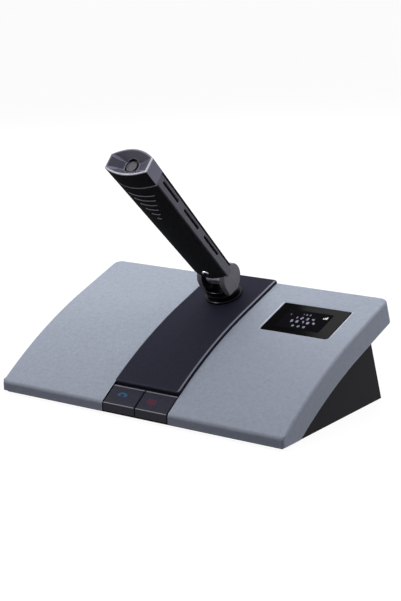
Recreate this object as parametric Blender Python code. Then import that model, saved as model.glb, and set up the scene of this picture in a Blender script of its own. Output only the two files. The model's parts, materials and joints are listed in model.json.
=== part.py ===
"""Conference delegate unit: a wedge base with two keys, a display and a folding microphone arm.

Metres, +Z up. The user sits at -Y. The origin lies on the desk, under the middle of the top cover.
"""

import math

import bmesh
import bpy
from mathutils import Matrix, Vector

MM = 0.001
DEG = math.pi / 180

# Shared fits
GAP = 0.3 * MM
OVERRUN = 2.0 * MM
HAIR = 0.02 * MM

# Top cover: a curved painted shell, steep at the front and straight at the back
COVER_WIDTH = 200.0 * MM
COVER_RUN = 114.0 * MM
ARC_RUN = 77.0 * MM
FRONT_SLOPE = 35.8 * DEG
REAR_SLOPE = 18.9 * DEG
LIP_BOTTOM = 1.8 * MM
LIP_TOP = 7.2 * MM
COVER_DEPTH = 14.2 * MM
COVER_WALL = 1.8 * MM
COVER_SKIN = 2.0 * MM
COVER_EDGE = 1.3 * MM
FRONT_CORNER = 2.6 * MM
REAR_CORNER = 5.2 * MM
RIB_DEPTH = 5.8 * MM
ARC_STEPS = 14
CORNER_STEPS = 4

# Channel down the middle of the cover, for the centre panel and the keys
CHANNEL_WIDTH = 46.8 * MM
CHANNEL_DEPTH = 2.0 * MM
KEY_RUN = 11.6 * MM
PANEL_PROUD = 2.0 * MM
PANEL_EDGE = 0.8 * MM
PANEL_CORNER = 1.6 * MM
PANEL_SPLIT = 0.7 * MM

# Keys and what lies under them
KEY_THICK = 2.0 * MM
KEY_TRAVEL = 0.6 * MM
KEY_SPLIT = 0.5 * MM
KEY_EDGE = 0.35 * MM
KEY_UNDER = 0.3 * MM
POCKET_WIDTH = 34.0 * MM
POCKET_LENGTH = 8.0 * MM
POCKET_DEPTH = 3.4 * MM
KEY_BOARD_THICK = 0.8 * MM
SWITCH_SIZE = 5.2 * MM
SWITCH_HEIGHT = 1.1 * MM
PLUNGER_RADIUS = 1.2 * MM
FASCIA_WALL = 1.7 * MM

# Display
WINDOW_WIDTH = 45.4 * MM
WINDOW_LENGTH = 29.4 * MM
WINDOW_PLACE_SHARE = 0.5157
WINDOW_RUN = 82.0 * MM
WINDOW_RADIUS = 1.2 * MM
WINDOW_FRONT_RADIUS = 2.4 * MM
WINDOW_THICK = 1.2 * MM
WINDOW_SINK = 0.25 * MM
MODULE_BORDER = 3.0 * MM
MODULE_THICK = 3.2 * MM

# Lower housing: a dark tray that nests in the cover and closes its overhang
FOOT_STANDOUT = 0.6 * MM
TRAY_WALL = 2.0 * MM
TRAY_FLOOR = 2.0 * MM
REAR_SETBACK = 24.0 * MM
LEDGE_SINK = 1.0 * MM
LEDGE_THICK = 2.0 * MM

# Feet and case screws
FOOT_RADIUS = 6.5 * MM
FOOT_RECESS = 1.0 * MM
FOOT_SIDE = 16.0 * MM
FOOT_END = 15.0 * MM
BOSS_RADIUS = 3.6 * MM
BOSS_SIDE = 12.0 * MM
BOSS_END = 35.0 * MM
SCREW_RADIUS = 1.3 * MM
SCREW_HEAD_RADIUS = 2.6 * MM
SCREW_HEAD = 1.0 * MM
SCREW_LENGTH = 9.0 * MM

# Battery and its hatch
BATTERY_Y = 12.0 * MM
BATTERY_WIDTH = 58.0 * MM
BATTERY_LENGTH = 38.0 * MM
BATTERY_HEIGHT = 12.0 * MM
BATTERY_ROUND = 2.5 * MM
HATCH_THICK = 1.2 * MM
HATCH_SINK = 0.8 * MM
HATCH_SCREW_HEAD = 0.5 * MM
HATCH_BORDER = 2.5 * MM
HATCH_TAB = 8.5 * MM
HATCH_SIDE = 3.1 * MM
HATCH_BOSS_RADIUS = 3.4 * MM
HATCH_BOSS_HEIGHT = 5.0 * MM
HATCH_SCREW_LENGTH = 5.0 * MM

# Boards
BOARD_THICK = 1.6 * MM
BOARD_Z = 9.0 * MM
BOARD_TO_BATTERY = 11.0 * MM
BOARD_SIDE = 13.9 * MM
BOARD_FRONT = -20.0 * MM
BOARD_REAR = 40.0 * MM
POST_RADIUS = 3.0 * MM
POST_INSET = 5.0 * MM
RADIO_WIDTH = 18.0 * MM
RADIO_LENGTH = 26.0 * MM
RADIO_HEIGHT = 2.8 * MM
RADIO_INSET = 22.0 * MM
RADIO_Y = 6.0 * MM

# Rear wall: charging socket and power switch, measured up the wall from the desk side
REAR_ROW = 21.0 * MM
SOCKET_X = 30.0 * MM
SOCKET_RADIUS = 4.0 * MM
SOCKET_BORE = 3.2 * MM
SOCKET_PIN = 0.7 * MM
SOCKET_BODY = 9.0 * MM
SOCKET_DEEP = 10.0 * MM
SOCKET_FLOOR = 1.5 * MM
POWER_X = -30.0 * MM
POWER_SLOT_WIDTH = 9.0 * MM
POWER_SLOT_HEIGHT = 4.0 * MM
POWER_KNOB_WIDTH = 5.0 * MM
POWER_KNOB_STANDOUT = 1.3 * MM
POWER_TRAVEL = 3.0 * MM
POWER_BODY_WIDTH = 16.0 * MM
POWER_BODY_HEIGHT = 7.0 * MM
POWER_BODY_DEEP = 5.0 * MM

# Turned joint under the microphone, measured from the top of the centre panel
SWIVEL_Y = 34.2 * MM
RING_RADIUS = 11.3 * MM
RING_BORE = 6.2 * MM
RING_HEIGHT = 1.3 * MM
RING_CHAMFER = 0.5 * MM
SPINDLE_RADIUS = 4.0 * MM
SPINDLE_BORE = 1.8 * MM
SPINDLE_STUB = 1.2 * MM
WASHER_THICK = 0.6 * MM
NUT_THICK = 3.0 * MM
NUT_RADIUS = 7.0 * MM
NUT_SIDES = 6
DISC_RADIUS = 9.8 * MM
DISC_EDGE = 0.7 * MM
DISC_TOP = 4.2 * MM
CUP_WAIST = 9.1 * MM
CUP_WAIST_HEIGHT = 0.8 * MM
CUP_RADIUS = 10.7 * MM
CUP_TOP = 7.8 * MM
CUP_WALL = 1.6 * MM
CUP_FLOOR = 5.6 * MM
CUP_LIP = 0.5 * MM

# Cheeks of the fork and the pin between them
PIVOT_FORWARD = 0.9 * MM
PIVOT_HEIGHT = 14.2 * MM
CHEEK_INNER = 6.6 * MM
CHEEK_THICK = 3.4 * MM
CHEEK_RADIUS = 8.7 * MM
CHEEK_FOOT_FRONT = 6.8 * MM
CHEEK_FOOT_REAR = 2.2 * MM
CHEEK_EDGE = 0.5 * MM
CHEEK_ARC_START = -50.0 * DEG
CHEEK_ARC_END = 200.0 * DEG
CHEEK_STEPS = 24
CHEEK_SEAT = 0.5 * MM
PIN_RADIUS = 1.5 * MM
PIN_SEAT = 2.0 * MM
GRUB_RADIUS = 0.8 * MM
GRUB_LENGTH = 5.0 * MM
GRUB_FORWARD = 1.5 * MM
KNUCKLE_RADIUS = 6.2 * MM
BRAKE_THICK = 0.6 * MM
BRAKE_RADIUS = 5.2 * MM

# Microphone arm: x across, n towards its back, s along it from the pivot to the head
ARM_RAISED = 43.8 * DEG
ARM_LENGTH = 115.8 * MM
ARM_HEAD_HALF = 14.4 * MM
ARM_FOOT_HALF = 11.1 * MM
ARM_HEAD_EDGE = 4.6 * MM
ARM_FOOT_EDGE = 3.7 * MM
ARM_HEAD_FRONT = 3.5 * MM
ARM_FOOT_FRONT = 2.3 * MM
ARM_HEAD_BACK = 4.8 * MM
ARM_FOOT_BACK = 2.8 * MM
ARM_WALL = 1.5 * MM
ARM_FRONT_SIDE = 0.8 * MM
ARM_BACK_SIDE = 0.7 * MM
ARM_CLEARANCE = 0.35 * MM
ARM_SPLIT = 0.15 * MM
SECTION_STEPS = 12
CAP_LENGTH = 12.6 * MM
CAP_ROOF = 7.2 * MM
CAP_RIM = 0.9 * MM
CAP_EDGE = 0.4 * MM
RECESS_DEPTH = 3.4 * MM
FACET_FLOOR_WIDTH = 10.0 * MM
FACET_FLOOR_DEPTH = 5.0 * MM
RING_PIT_RADIUS = 5.3 * MM
RING_PIT_DEPTH = 0.8 * MM
RING_PIT_TOP = 2.4 * MM
GRILLE_SOCKET = 1.8 * MM
GRILLE_RADIUS = 4.3 * MM
GRILLE_PROUD = 0.5 * MM
GRILLE_HOLE = 0.36 * MM
GRILLE_HOLE_STEPS = 8
GRILLE_RING_SHARES = ((1, 0.0), (6, 1 / 3), (12, 2 / 3))
SOUND_BORE = 2.6 * MM
CAPSULE_RADIUS = 3.9 * MM
CAPSULE_LENGTH = 4.6 * MM
SLEEVE_RADIUS = 5.5 * MM

# Slots in the arm
SOUND_ROWS = 6
SOUND_TO_CAP = 8.0 * MM
SOUND_PITCH = 4.6 * MM
SOUND_HEIGHT = 1.5 * MM
SOUND_FIRST_HALF = 10.0 * MM
SOUND_LAST_HALF = 0.8 * MM
SIDE_SLOTS = 3
SIDE_SLOT_START = 23.8 * MM
SIDE_SLOT_TO_CAP = 4.8 * MM
SIDE_SLOT_WEB = 7.3 * MM
SIDE_SLOT_BACK = 0.9 * MM
SIDE_SLOT_HEIGHT = 2.3 * MM
STRIP_THICK = 0.8 * MM
STRIP_SINK = 0.2 * MM
STRIP_FOOT = 4.6 * MM
STRIP_CORNER = 2.2 * MM
MESH_THICK = 0.4 * MM
MESH_MARGIN = 0.7 * MM

# Inside the arm
NECK_TOP = 27.0 * MM
NECK_FRONT = 3.6 * MM
NECK_BACK = 4.2 * MM
ARM_SCREW_S = 12.4 * MM
ARM_SCREW_RADIUS = 1.2 * MM
ARM_SCREW_HEAD_RADIUS = 2.3 * MM
ARM_SCREW_HEAD = 1.3 * MM
ARM_SCREW_SINK = 0.7 * MM
ARM_SCREW_BITE = 3.0 * MM
ARM_BOARD_START = 36.0 * MM
ARM_BOARD_TO_CAP = 7.2 * MM
ARM_BOARD_HALF = 7.5 * MM
ARM_BOARD_THICK = 1.0 * MM
ARM_POST_RADIUS = 1.8 * MM
ARM_POST_INSET = 6.0 * MM

ROUND_STEPS = 32
SMALL_STEPS = 16
FOOT_CUT_STEPS = 48
SMOOTH_ANGLE = 35.0 * DEG
CORNER_ANGLE = 40.0 * DEG
FLATNESS = 0.0005 * MM

# A face squares with an axis where its normal has more than the first share of it
UPRIGHT_SHARE = 0.8
SIDEWAYS_SHARE = 0.1


def clear_scene():
    for old in list(bpy.data.objects):
        bpy.data.objects.remove(old, do_unlink=True)


def make_material(name, colour, roughness, metallic=0.0):
    material = bpy.data.materials.new(name)
    material.use_nodes = True
    shader = material.node_tree.nodes["Principled BSDF"]
    shader.inputs["Base Color"].default_value = (*colour, 1.0)
    shader.inputs["Roughness"].default_value = roughness
    shader.inputs["Metallic"].default_value = metallic
    material.diffuse_color = (*colour, 1.0)
    return material


def make_materials():
    return {
        "cover_paint": make_material("cover_paint", (0.34, 0.38, 0.45), 0.45),
        "housing": make_material("housing", (0.022, 0.021, 0.026), 0.55),
        "panel": make_material("panel", (0.028, 0.030, 0.042), 0.45),
        "key": make_material("key", (0.040, 0.040, 0.058), 0.4),
        "glass": make_material("glass", (0.004, 0.004, 0.005), 0.08),
        "display": make_material("display", (0.012, 0.014, 0.020), 0.35),
        "rubber": make_material("rubber", (0.012, 0.012, 0.013), 0.85),
        "steel": make_material("steel", (0.55, 0.55, 0.56), 0.3, 1.0),
        "board": make_material("board", (0.02, 0.11, 0.05), 0.6),
        "battery": make_material("battery", (0.05, 0.09, 0.20), 0.5),
        "gloss_black": make_material("gloss_black", (0.006, 0.006, 0.008), 0.15),
        "fork": make_material("fork", (0.115, 0.113, 0.125), 0.42),
        "arm_dark": make_material("arm_dark", (0.012, 0.011, 0.015), 0.42),
        "strip": make_material("strip", (0.095, 0.093, 0.115), 0.4),
        "cap": make_material("cap", (0.055, 0.055, 0.072), 0.35),
        "cloth": make_material("cloth", (0.004, 0.004, 0.004), 0.95),
        "nylon": make_material("nylon", (0.75, 0.74, 0.70), 0.5),
    }


def close_up(bm):
    """Turns every face outwards and splits the bent ones, so that a Boolean meets only flat faces."""
    bm.normal_update()
    bent = []
    for face in bm.faces:
        first = face.verts[0].co
        if max(abs((vert.co - first).dot(face.normal)) for vert in face.verts) > FLATNESS:
            bent.append(face)
    bmesh.ops.triangulate(bm, faces=bent, quad_method="FIXED")
    bmesh.ops.recalc_face_normals(bm, faces=bm.faces)


def finish(name, bm, material, frame=None):
    """Makes the object of this mesh, which is written in the frame's own coordinates."""
    close_up(bm)
    mesh = bpy.data.meshes.new(name)
    bm.to_mesh(mesh)
    bm.free()
    mesh.shade_smooth()
    mesh.set_sharp_from_angle(angle=SMOOTH_ANGLE)
    mesh.materials.append(material)
    part = bpy.data.objects.new(name, mesh)
    bpy.context.scene.collection.objects.link(part)
    if frame is not None:
        part.parent = frame
    return part


def tool(name, bm, frame=None):
    """A cutter or an added boss: it is used by a Boolean and is not a piece of the object."""
    close_up(bm)
    mesh = bpy.data.meshes.new(name)
    bm.to_mesh(mesh)
    bm.free()
    helper = bpy.data.objects.new(name, mesh)
    bpy.context.scene.collection.objects.link(helper)
    helper.hide_render = True
    helper.display_type = "WIRE"
    if frame is not None:
        helper.parent = frame
    return helper


def combine(part, helper, operation="DIFFERENCE"):
    modifier = part.modifiers.new(helper.name, "BOOLEAN")
    modifier.operation = operation
    modifier.solver = "EXACT"
    modifier.object = helper


def make_frame(name, place, tilt, parent=None):
    """An empty at this place, turned about X by the tilt."""
    frame = bpy.data.objects.new(name, None)
    bpy.context.scene.collection.objects.link(frame)
    frame.parent = parent
    frame.location = place
    frame.rotation_euler = (tilt, 0.0, 0.0)
    return frame


def loft(bm, loops):
    """A closed solid through loops of equal length, capped at both ends."""
    rings = [[bm.verts.new(point) for point in loop] for loop in loops]
    count = len(rings[0])
    for lower, upper in zip(rings, rings[1:]):
        for index in range(count):
            after = (index + 1) % count
            bm.faces.new((lower[index], lower[after], upper[after], upper[index]))
    bm.faces.new(list(reversed(rings[0])))
    bm.faces.new(rings[-1])


def prism(bm, outline, low_x, high_x):
    """Extrudes an outline of (y, z) points along X."""
    loft(bm, [[(x, y, z) for y, z in outline] for x in (low_x, high_x)])


def box(bm, low, high):
    (x0, y0, z0), (x1, y1, z1) = low, high
    loft(bm, [[(x0, y0, z), (x1, y0, z), (x1, y1, z), (x0, y1, z)] for z in (z0, z1)])


def disc(bm, centre, radius, low_z, high_z, steps=ROUND_STEPS):
    x, y = centre
    turn = [2 * math.pi * index / steps for index in range(steps)]
    ring = [(x + radius * math.cos(angle), y + radius * math.sin(angle)) for angle in turn]
    loft(bm, [[(px, py, z) for px, py in ring] for z in (low_z, high_z)])


def axle(bm, centre, radius, low_x, high_x, steps=ROUND_STEPS):
    """A cylinder along X about a (y, z) centre."""
    y, z = centre
    turn = [2 * math.pi * index / steps for index in range(steps)]
    prism(bm, [(y + radius * math.cos(a), z + radius * math.sin(a)) for a in turn], low_x, high_x)


def turned(bm, profile, steps=ROUND_STEPS):
    """Turns a closed profile of (radius, z) points, none on the axis, about Z."""
    columns = []
    for index in range(steps):
        angle = 2 * math.pi * index / steps
        c, s = math.cos(angle), math.sin(angle)
        columns.append([bm.verts.new((radius * c, radius * s, z)) for radius, z in profile])
    count = len(profile)
    for index in range(steps):
        here, after = columns[index], columns[(index + 1) % steps]
        for row in range(count):
            below = (row + 1) % count
            bm.faces.new((here[row], after[row], after[below], here[below]))


def rounded_outline(width, length, radius, front_right=None, steps=3):
    """A rounded rectangle about the origin, as (x, y) points; one corner may have its own radius."""
    points = []
    last = radius if front_right is None else front_right
    corners = ((1, 1, radius), (-1, 1, radius), (-1, -1, radius), (1, -1, last))
    for quarter, (sx, sy, radius) in enumerate(corners):
        cx, cy = sx * (width / 2 - radius), sy * (length / 2 - radius)
        for step in range(steps + 1):
            angle = (quarter + step / steps) * math.pi / 2
            points.append((cx + radius * math.cos(angle), cy + radius * math.sin(angle)))
    return points


def plate(bm, outline, centre, low_z, high_z):
    x, y = centre
    loft(bm, [[(px + x, py + y, z) for px, py in outline] for z in (low_z, high_z)])


def soften(bm, edges, radius, segments=2):
    bmesh.ops.bevel(
        bm, geom=list(edges), offset=radius, segments=segments, profile=0.5, affect="EDGES"
    )


def sharp_edges(bm, wanted):
    """The edges with a corner of more than 40 degrees whose middle the test accepts."""
    bm.normal_update()
    found = []
    for edge in bm.edges:
        if len(edge.link_faces) != 2 or edge.calc_face_angle() < CORNER_ANGLE:
            continue
        if wanted((edge.verts[0].co + edge.verts[1].co) / 2, edge):
            found.append(edge)
    return found


# The cover's top surface, seen from the side

ARC_RADIUS = ARC_RUN / (math.sin(FRONT_SLOPE) - math.sin(REAR_SLOPE))
FRONT_Y = -COVER_RUN / 2
ARC_CENTRE_Y = FRONT_Y + ARC_RADIUS * math.sin(FRONT_SLOPE)
ARC_CENTRE_Z = LIP_TOP - ARC_RADIUS * math.cos(FRONT_SLOPE)
STRAIGHT = (COVER_RUN - ARC_RUN) / math.cos(REAR_SLOPE)
HALF_WIDTH = COVER_WIDTH / 2
HALF_CHANNEL = CHANNEL_WIDTH / 2
FLOOR_BOTTOM = FOOT_STANDOUT
FLOOR_TOP = FLOOR_BOTTOM + TRAY_FLOOR
TRAY_HALF = HALF_WIDTH - COVER_WALL - GAP

# Places across the unit, each tied to what it sits beside

WINDOW_CENTRE_X = HALF_CHANNEL + WINDOW_PLACE_SHARE * (HALF_WIDTH - HALF_CHANNEL)
FOOT_X = HALF_WIDTH - FOOT_SIDE
BOSS_X = HALF_WIDTH - BOSS_SIDE
HATCH_LEFT = -BOSS_X + SCREW_HEAD_RADIUS + HATCH_SIDE
BATTERY_X = HATCH_LEFT + HATCH_TAB + HATCH_BORDER + GAP + BATTERY_WIDTH / 2
BOARD_LEFT = BATTERY_X + BATTERY_WIDTH / 2 + BOARD_TO_BATTERY
BOARD_RIGHT = TRAY_HALF - TRAY_WALL - BOARD_SIDE
RADIO_X = BOARD_RIGHT - RADIO_INSET

# Places along the microphone arm, each tied to the head or to the foot

CAP_START = ARM_LENGTH - CAP_LENGTH
CAP_CAVITY_TOP = ARM_LENGTH - CAP_ROOF
SOUND_FIRST = CAP_START - SOUND_TO_CAP
SIDE_SLOT_WEBS = (SIDE_SLOTS - 1) * SIDE_SLOT_WEB
SIDE_SLOT_LENGTH = (CAP_START - SIDE_SLOT_TO_CAP - SIDE_SLOT_START - SIDE_SLOT_WEBS) / SIDE_SLOTS
SIDE_SLOT_PITCH = SIDE_SLOT_LENGTH + SIDE_SLOT_WEB
SIDE_SLOT_FIRST = SIDE_SLOT_START + SIDE_SLOT_LENGTH / 2
ARM_BOARD_END = CAP_START - ARM_BOARD_TO_CAP


def on_arc(slope, depth):
    """The (y, z) point below the arc where the surface has this slope."""
    reach = ARC_RADIUS - depth
    return ARC_CENTRE_Y - reach * math.sin(slope), ARC_CENTRE_Z + reach * math.cos(slope)


def on_straight(distance, depth):
    """The (y, z) point below the straight part, this far up the slope from the arc's end."""
    y, z = on_arc(REAR_SLOPE, depth)
    return y + distance * math.cos(REAR_SLOPE), z + distance * math.sin(REAR_SLOPE)


def slope_at_y(y, depth):
    return math.asin((ARC_CENTRE_Y - y) / (ARC_RADIUS - depth))


def slope_at_z(z, depth):
    return math.acos((z - ARC_CENTRE_Z) / (ARC_RADIUS - depth))


def skin_line(depth, first_slope, last_distance=STRAIGHT):
    """Points that follow the top surface at this depth, from the front to the back."""
    steps = max(2, round(ARC_STEPS * (first_slope - REAR_SLOPE) / (FRONT_SLOPE - REAR_SLOPE)))
    slopes = [first_slope + (REAR_SLOPE - first_slope) * i / steps for i in range(steps + 1)]
    return [on_arc(slope, depth) for slope in slopes] + [on_straight(last_distance, depth)]


def key_line(depth, first_slope, last_slope, steps=3):
    slopes = [first_slope + (last_slope - first_slope) * i / steps for i in range(steps + 1)]
    return [on_arc(slope, depth) for slope in slopes]


def surface_slope(y):
    return max(REAR_SLOPE, slope_at_y(y, 0.0))


KEY_REAR_SLOPE = slope_at_y(FRONT_Y + KEY_RUN, 0.0)
KEY_SLOPE = (FRONT_SLOPE + KEY_REAR_SLOPE) / 2


# Top cover


def cover_solid():
    bm = bmesh.new()
    top = skin_line(0.0, FRONT_SLOPE)
    under = skin_line(COVER_DEPTH, slope_at_z(LIP_BOTTOM, COVER_DEPTH))
    prism(bm, [(FRONT_Y, LIP_BOTTOM)] + top + list(reversed(under)), -HALF_WIDTH, HALF_WIDTH)

    def front_corner(middle, edge):
        return abs(middle.y - FRONT_Y) < HAIR and abs(abs(middle.x) - HALF_WIDTH) < HAIR

    rear_top = Vector((0.0, *on_straight(STRAIGHT, 0.0)))
    along = Vector((0.0, math.cos(REAR_SLOPE), math.sin(REAR_SLOPE)))

    def rear_corner(middle, edge):
        at_end = abs((middle - rear_top).dot(along)) < HAIR
        return at_end and abs(abs(middle.x) - HALF_WIDTH) < HAIR

    corners = sharp_edges(bm, front_corner)
    soften(bm, corners, FRONT_CORNER, CORNER_STEPS)
    soften(bm, sharp_edges(bm, rear_corner), REAR_CORNER, CORNER_STEPS)

    soften(bm, sharp_edges(bm, faces_up_once), COVER_EDGE, 3)
    return bm


def faces_up_once(middle, edge):
    """An edge round a top surface: only one of its two faces looks up."""
    up = []
    for face in edge.link_faces:
        up.append(face.normal.z > UPRIGHT_SHARE and abs(face.normal.x) < SIDEWAYS_SHARE)
    return up.count(True) == 1


def cover_cavity(name, skin, spans, inset=0.0):
    """Hollows the cover from below, up to this depth under its surface and this far inside its walls."""
    front = FRONT_Y + COVER_WALL + inset
    back = STRAIGHT - COVER_WALL - inset
    bm = bmesh.new()
    line = skin_line(skin, slope_at_y(front, skin), back)
    far = on_straight(back, COVER_DEPTH + OVERRUN)
    outline = [(front, -OVERRUN), (front, line[0][1])] + line[1:] + [far, (far[0], -OVERRUN)]
    for low_x, high_x in spans:
        prism(bm, outline, low_x + inset, high_x - inset)
    return tool(name, bm)


def channel_cut():
    """The panel's channel over the cover and the opening through it for the keys, as one cutter."""
    bm = bmesh.new()
    above = skin_line(-OVERRUN - PANEL_PROUD, KEY_REAR_SLOPE, STRAIGHT + OVERRUN)
    below = skin_line(CHANNEL_DEPTH, KEY_REAR_SLOPE, STRAIGHT + OVERRUN)
    low = on_arc(KEY_REAR_SLOPE, KEY_THICK + LIP_TOP + OVERRUN)
    front = FRONT_Y - OVERRUN
    outline = [(front, -OVERRUN), (low[0], -OVERRUN), low] + below
    outline += list(reversed(above)) + [(front, above[0][1])]
    prism(bm, outline, -HALF_CHANNEL, HALF_CHANNEL)
    return tool("channel_cut", bm)


def cover_bosses():
    bm = bmesh.new()
    for x, y in boss_places():
        slope = surface_slope(y)
        top = surface_z(y) - COVER_SKIN / 2 / math.cos(slope) - BOSS_RADIUS * math.tan(slope)
        disc(bm, (x, y), BOSS_RADIUS, FLOOR_TOP + GAP, top, SMALL_STEPS)
    return tool("cover_bosses", bm)


def surface_z(y):
    if y > FRONT_Y + ARC_RUN:
        return on_arc(REAR_SLOPE, 0.0)[1] + (y - FRONT_Y - ARC_RUN) * math.tan(REAR_SLOPE)
    return on_arc(slope_at_y(y, 0.0), 0.0)[1]


def boss_places():
    reach = COVER_RUN / 2 - BOSS_END
    return [(sx * BOSS_X, sy * reach) for sy in (-1, 1) for sx in (-1, 1)]


def foot_places():
    reach = COVER_RUN / 2 - FOOT_END
    return [(sx * FOOT_X, sy * reach) for sy in (-1, 1) for sx in (-1, 1)]


def screw_hole(radius):
    return radius + GAP


def make_cover(materials, window):
    cover = finish("top_cover", cover_solid(), materials["cover_paint"])
    inner = HALF_WIDTH - COVER_WALL
    rib = HALF_CHANNEL + COVER_WALL
    combine(cover, cover_cavity("cover_hollow", RIB_DEPTH, [(-inner, inner)], HAIR))
    clearance = bmesh.new()
    rear_y = on_rear_wall(0.0).y
    inset = HAIR + HAIR
    low = (-inner + inset, FRONT_Y + COVER_WALL + inset, -OVERRUN)
    box(clearance, low, (inner - inset, rear_y, FLOOR_TOP + GAP))
    combine(cover, tool("floor_clearance", clearance))
    combine(cover, cover_cavity("wing_hollows", COVER_SKIN, [(-inner, -rib), (rib, inner)]))
    floor = CHANNEL_DEPTH + COVER_SKIN
    middle = HALF_CHANNEL - COVER_WALL
    combine(cover, cover_cavity("middle_hollow", floor, [(-middle, middle)]))
    combine(cover, channel_cut())
    combine(cover, cover_bosses(), "UNION")
    holes = bmesh.new()
    for place in boss_places():
        top = FLOOR_TOP + SCREW_LENGTH
        disc(holes, place, screw_hole(SCREW_RADIUS), -OVERRUN, top, SMALL_STEPS)
    combine(cover, tool("boss_holes", holes))
    pocket = bmesh.new()
    outline = window_outline(GAP)
    plate(pocket, outline, (0.0, 0.0), -WINDOW_SINK - WINDOW_THICK - GAP, OVERRUN)
    combine(cover, tool("window_pocket", pocket, window))
    through = bmesh.new()
    opening = rounded_outline(
        WINDOW_WIDTH - 2 * MODULE_BORDER, WINDOW_LENGTH - 2 * MODULE_BORDER, WINDOW_RADIUS
    )
    plate(through, opening, (0.0, 0.0), -COVER_SKIN - OVERRUN, OVERRUN)
    combine(cover, tool("window_opening", through, window))
    return cover


def window_outline(margin):
    """The display window's outline, grown by this margin."""
    width, length = WINDOW_WIDTH + 2 * margin, WINDOW_LENGTH + 2 * margin
    return rounded_outline(width, length, WINDOW_RADIUS + margin, WINDOW_FRONT_RADIUS + margin)


# Centre panel and keys


def make_panel(materials, swivel):
    bm = bmesh.new()
    half = HALF_CHANNEL - GAP
    under = CHANNEL_DEPTH - GAP
    first = slope_at_y(FRONT_Y + KEY_RUN + PANEL_SPLIT, 0.0)
    top = skin_line(-PANEL_PROUD, first, STRAIGHT - HAIR)
    low = skin_line(under, first, STRAIGHT - HAIR)
    prism(bm, top + list(reversed(low)), -half, half)

    front_y = max(top[0][0], low[0][0])

    def front_corner(middle, edge):
        upright = abs(edge.verts[0].co.x - edge.verts[1].co.x) < HAIR
        return upright and middle.y < front_y + HAIR and abs(abs(middle.x) - half) < HAIR

    soften(bm, sharp_edges(bm, front_corner), PANEL_CORNER, CORNER_STEPS)
    soften(bm, sharp_edges(bm, faces_up_once), PANEL_EDGE)
    panel = finish("centre_panel", bm, materials["panel"])
    hole = bmesh.new()
    floor = -PANEL_PROUD - CHANNEL_DEPTH - COVER_SKIN
    disc(hole, (0.0, 0.0), SPINDLE_RADIUS + GAP, floor - OVERRUN, OVERRUN)
    spindle_hole = tool("spindle_hole", hole, swivel)
    combine(panel, spindle_hole)
    return spindle_hole


def make_keys(materials, key_frame):
    """Two flat keys that follow the cover's curve; each is pressed square to its face."""
    half = HALF_CHANNEL - GAP
    to_key = Matrix.Rotation(-KEY_SLOPE, 4, "X") @ Matrix.Translation(-key_place())
    rear = slope_at_y(FRONT_Y + KEY_RUN - GAP, 0.0)
    for name, low_x, high_x in (
        ("left_key", -half, -KEY_SPLIT / 2),
        ("right_key", KEY_SPLIT / 2, half),
    ):
        bm = bmesh.new()
        top = key_line(0.0, FRONT_SLOPE, rear)
        front_low = slope_at_y(FRONT_Y, KEY_THICK)
        low = key_line(KEY_THICK, front_low, rear)
        prism(bm, top + list(reversed(low)), low_x, high_x)
        middle = Vector(((low_x + high_x) / 2, 0.0, 0.0))
        bm.transform(Matrix.Translation(-middle) @ to_key)

        def round_top(centre, edge):
            up = [face.normal.z > UPRIGHT_SHARE for face in edge.link_faces]
            return up.count(True) == 1

        soften(bm, sharp_edges(bm, round_top), KEY_EDGE)
        key = finish(name, bm, materials["key"], key_frame)
        key.location.x = middle.x


def key_place():
    """The middle of the key row, on the cover's surface."""
    return Vector((0.0, *on_arc(KEY_SLOPE, 0.0)))


def make_fascia(materials, key_frame):
    """The dark block under the keys, with the front face that shows below them."""
    top_depth = KEY_THICK + KEY_TRAVEL + KEY_UNDER
    rear = slope_at_y(FRONT_Y + KEY_RUN - GAP, 0.0)
    top = key_line(top_depth, slope_at_y(FRONT_Y, top_depth), rear)
    last_y = top[-1][0]
    step_z = FLOOR_TOP + GAP
    outline = [(FRONT_Y, LIP_BOTTOM)] + top + [(last_y, step_z)]
    outline += [(FRONT_Y + FASCIA_WALL, step_z), (FRONT_Y + FASCIA_WALL, LIP_BOTTOM)]
    bm = bmesh.new()
    prism(bm, outline, -HALF_CHANNEL + GAP, HALF_CHANNEL - GAP)
    fascia = finish("front_fascia", bm, materials["housing"])
    pocket = bmesh.new()
    half_x, half_y = POCKET_WIDTH / 2, POCKET_LENGTH / 2
    low = (-half_x, -half_y, -top_depth - POCKET_DEPTH)
    box(pocket, low, (half_x, half_y, OVERRUN - top_depth))
    combine(fascia, tool("switch_pocket", pocket, key_frame))

    floor = -top_depth - POCKET_DEPTH
    board = bmesh.new()
    low = (-half_x + GAP, -half_y + GAP, floor + GAP)
    box(board, low, (half_x - GAP, half_y - GAP, floor + GAP + KEY_BOARD_THICK))
    finish("key_board", board, materials["board"], key_frame)

    seat = floor + 2 * GAP + KEY_BOARD_THICK
    plunger_top = -KEY_THICK - KEY_TRAVEL - GAP / 2
    for name, side in (("left_switch", -1), ("right_switch", 1)):
        body = bmesh.new()
        half = SWITCH_SIZE / 2
        box(body, (-half, -half, seat), (half, half, seat + SWITCH_HEIGHT))
        switch = finish(name, body, materials["gloss_black"], key_frame)
        switch.location.x = side * (HALF_CHANNEL / 2)
        plunger = bmesh.new()
        disc(plunger, (0.0, 0.0), PLUNGER_RADIUS, seat + GAP, plunger_top, SMALL_STEPS)
        stem = tool(name + "_plunger", plunger, key_frame)
        stem.location.x = switch.location.x
        combine(switch, stem, "UNION")


# Display


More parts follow.
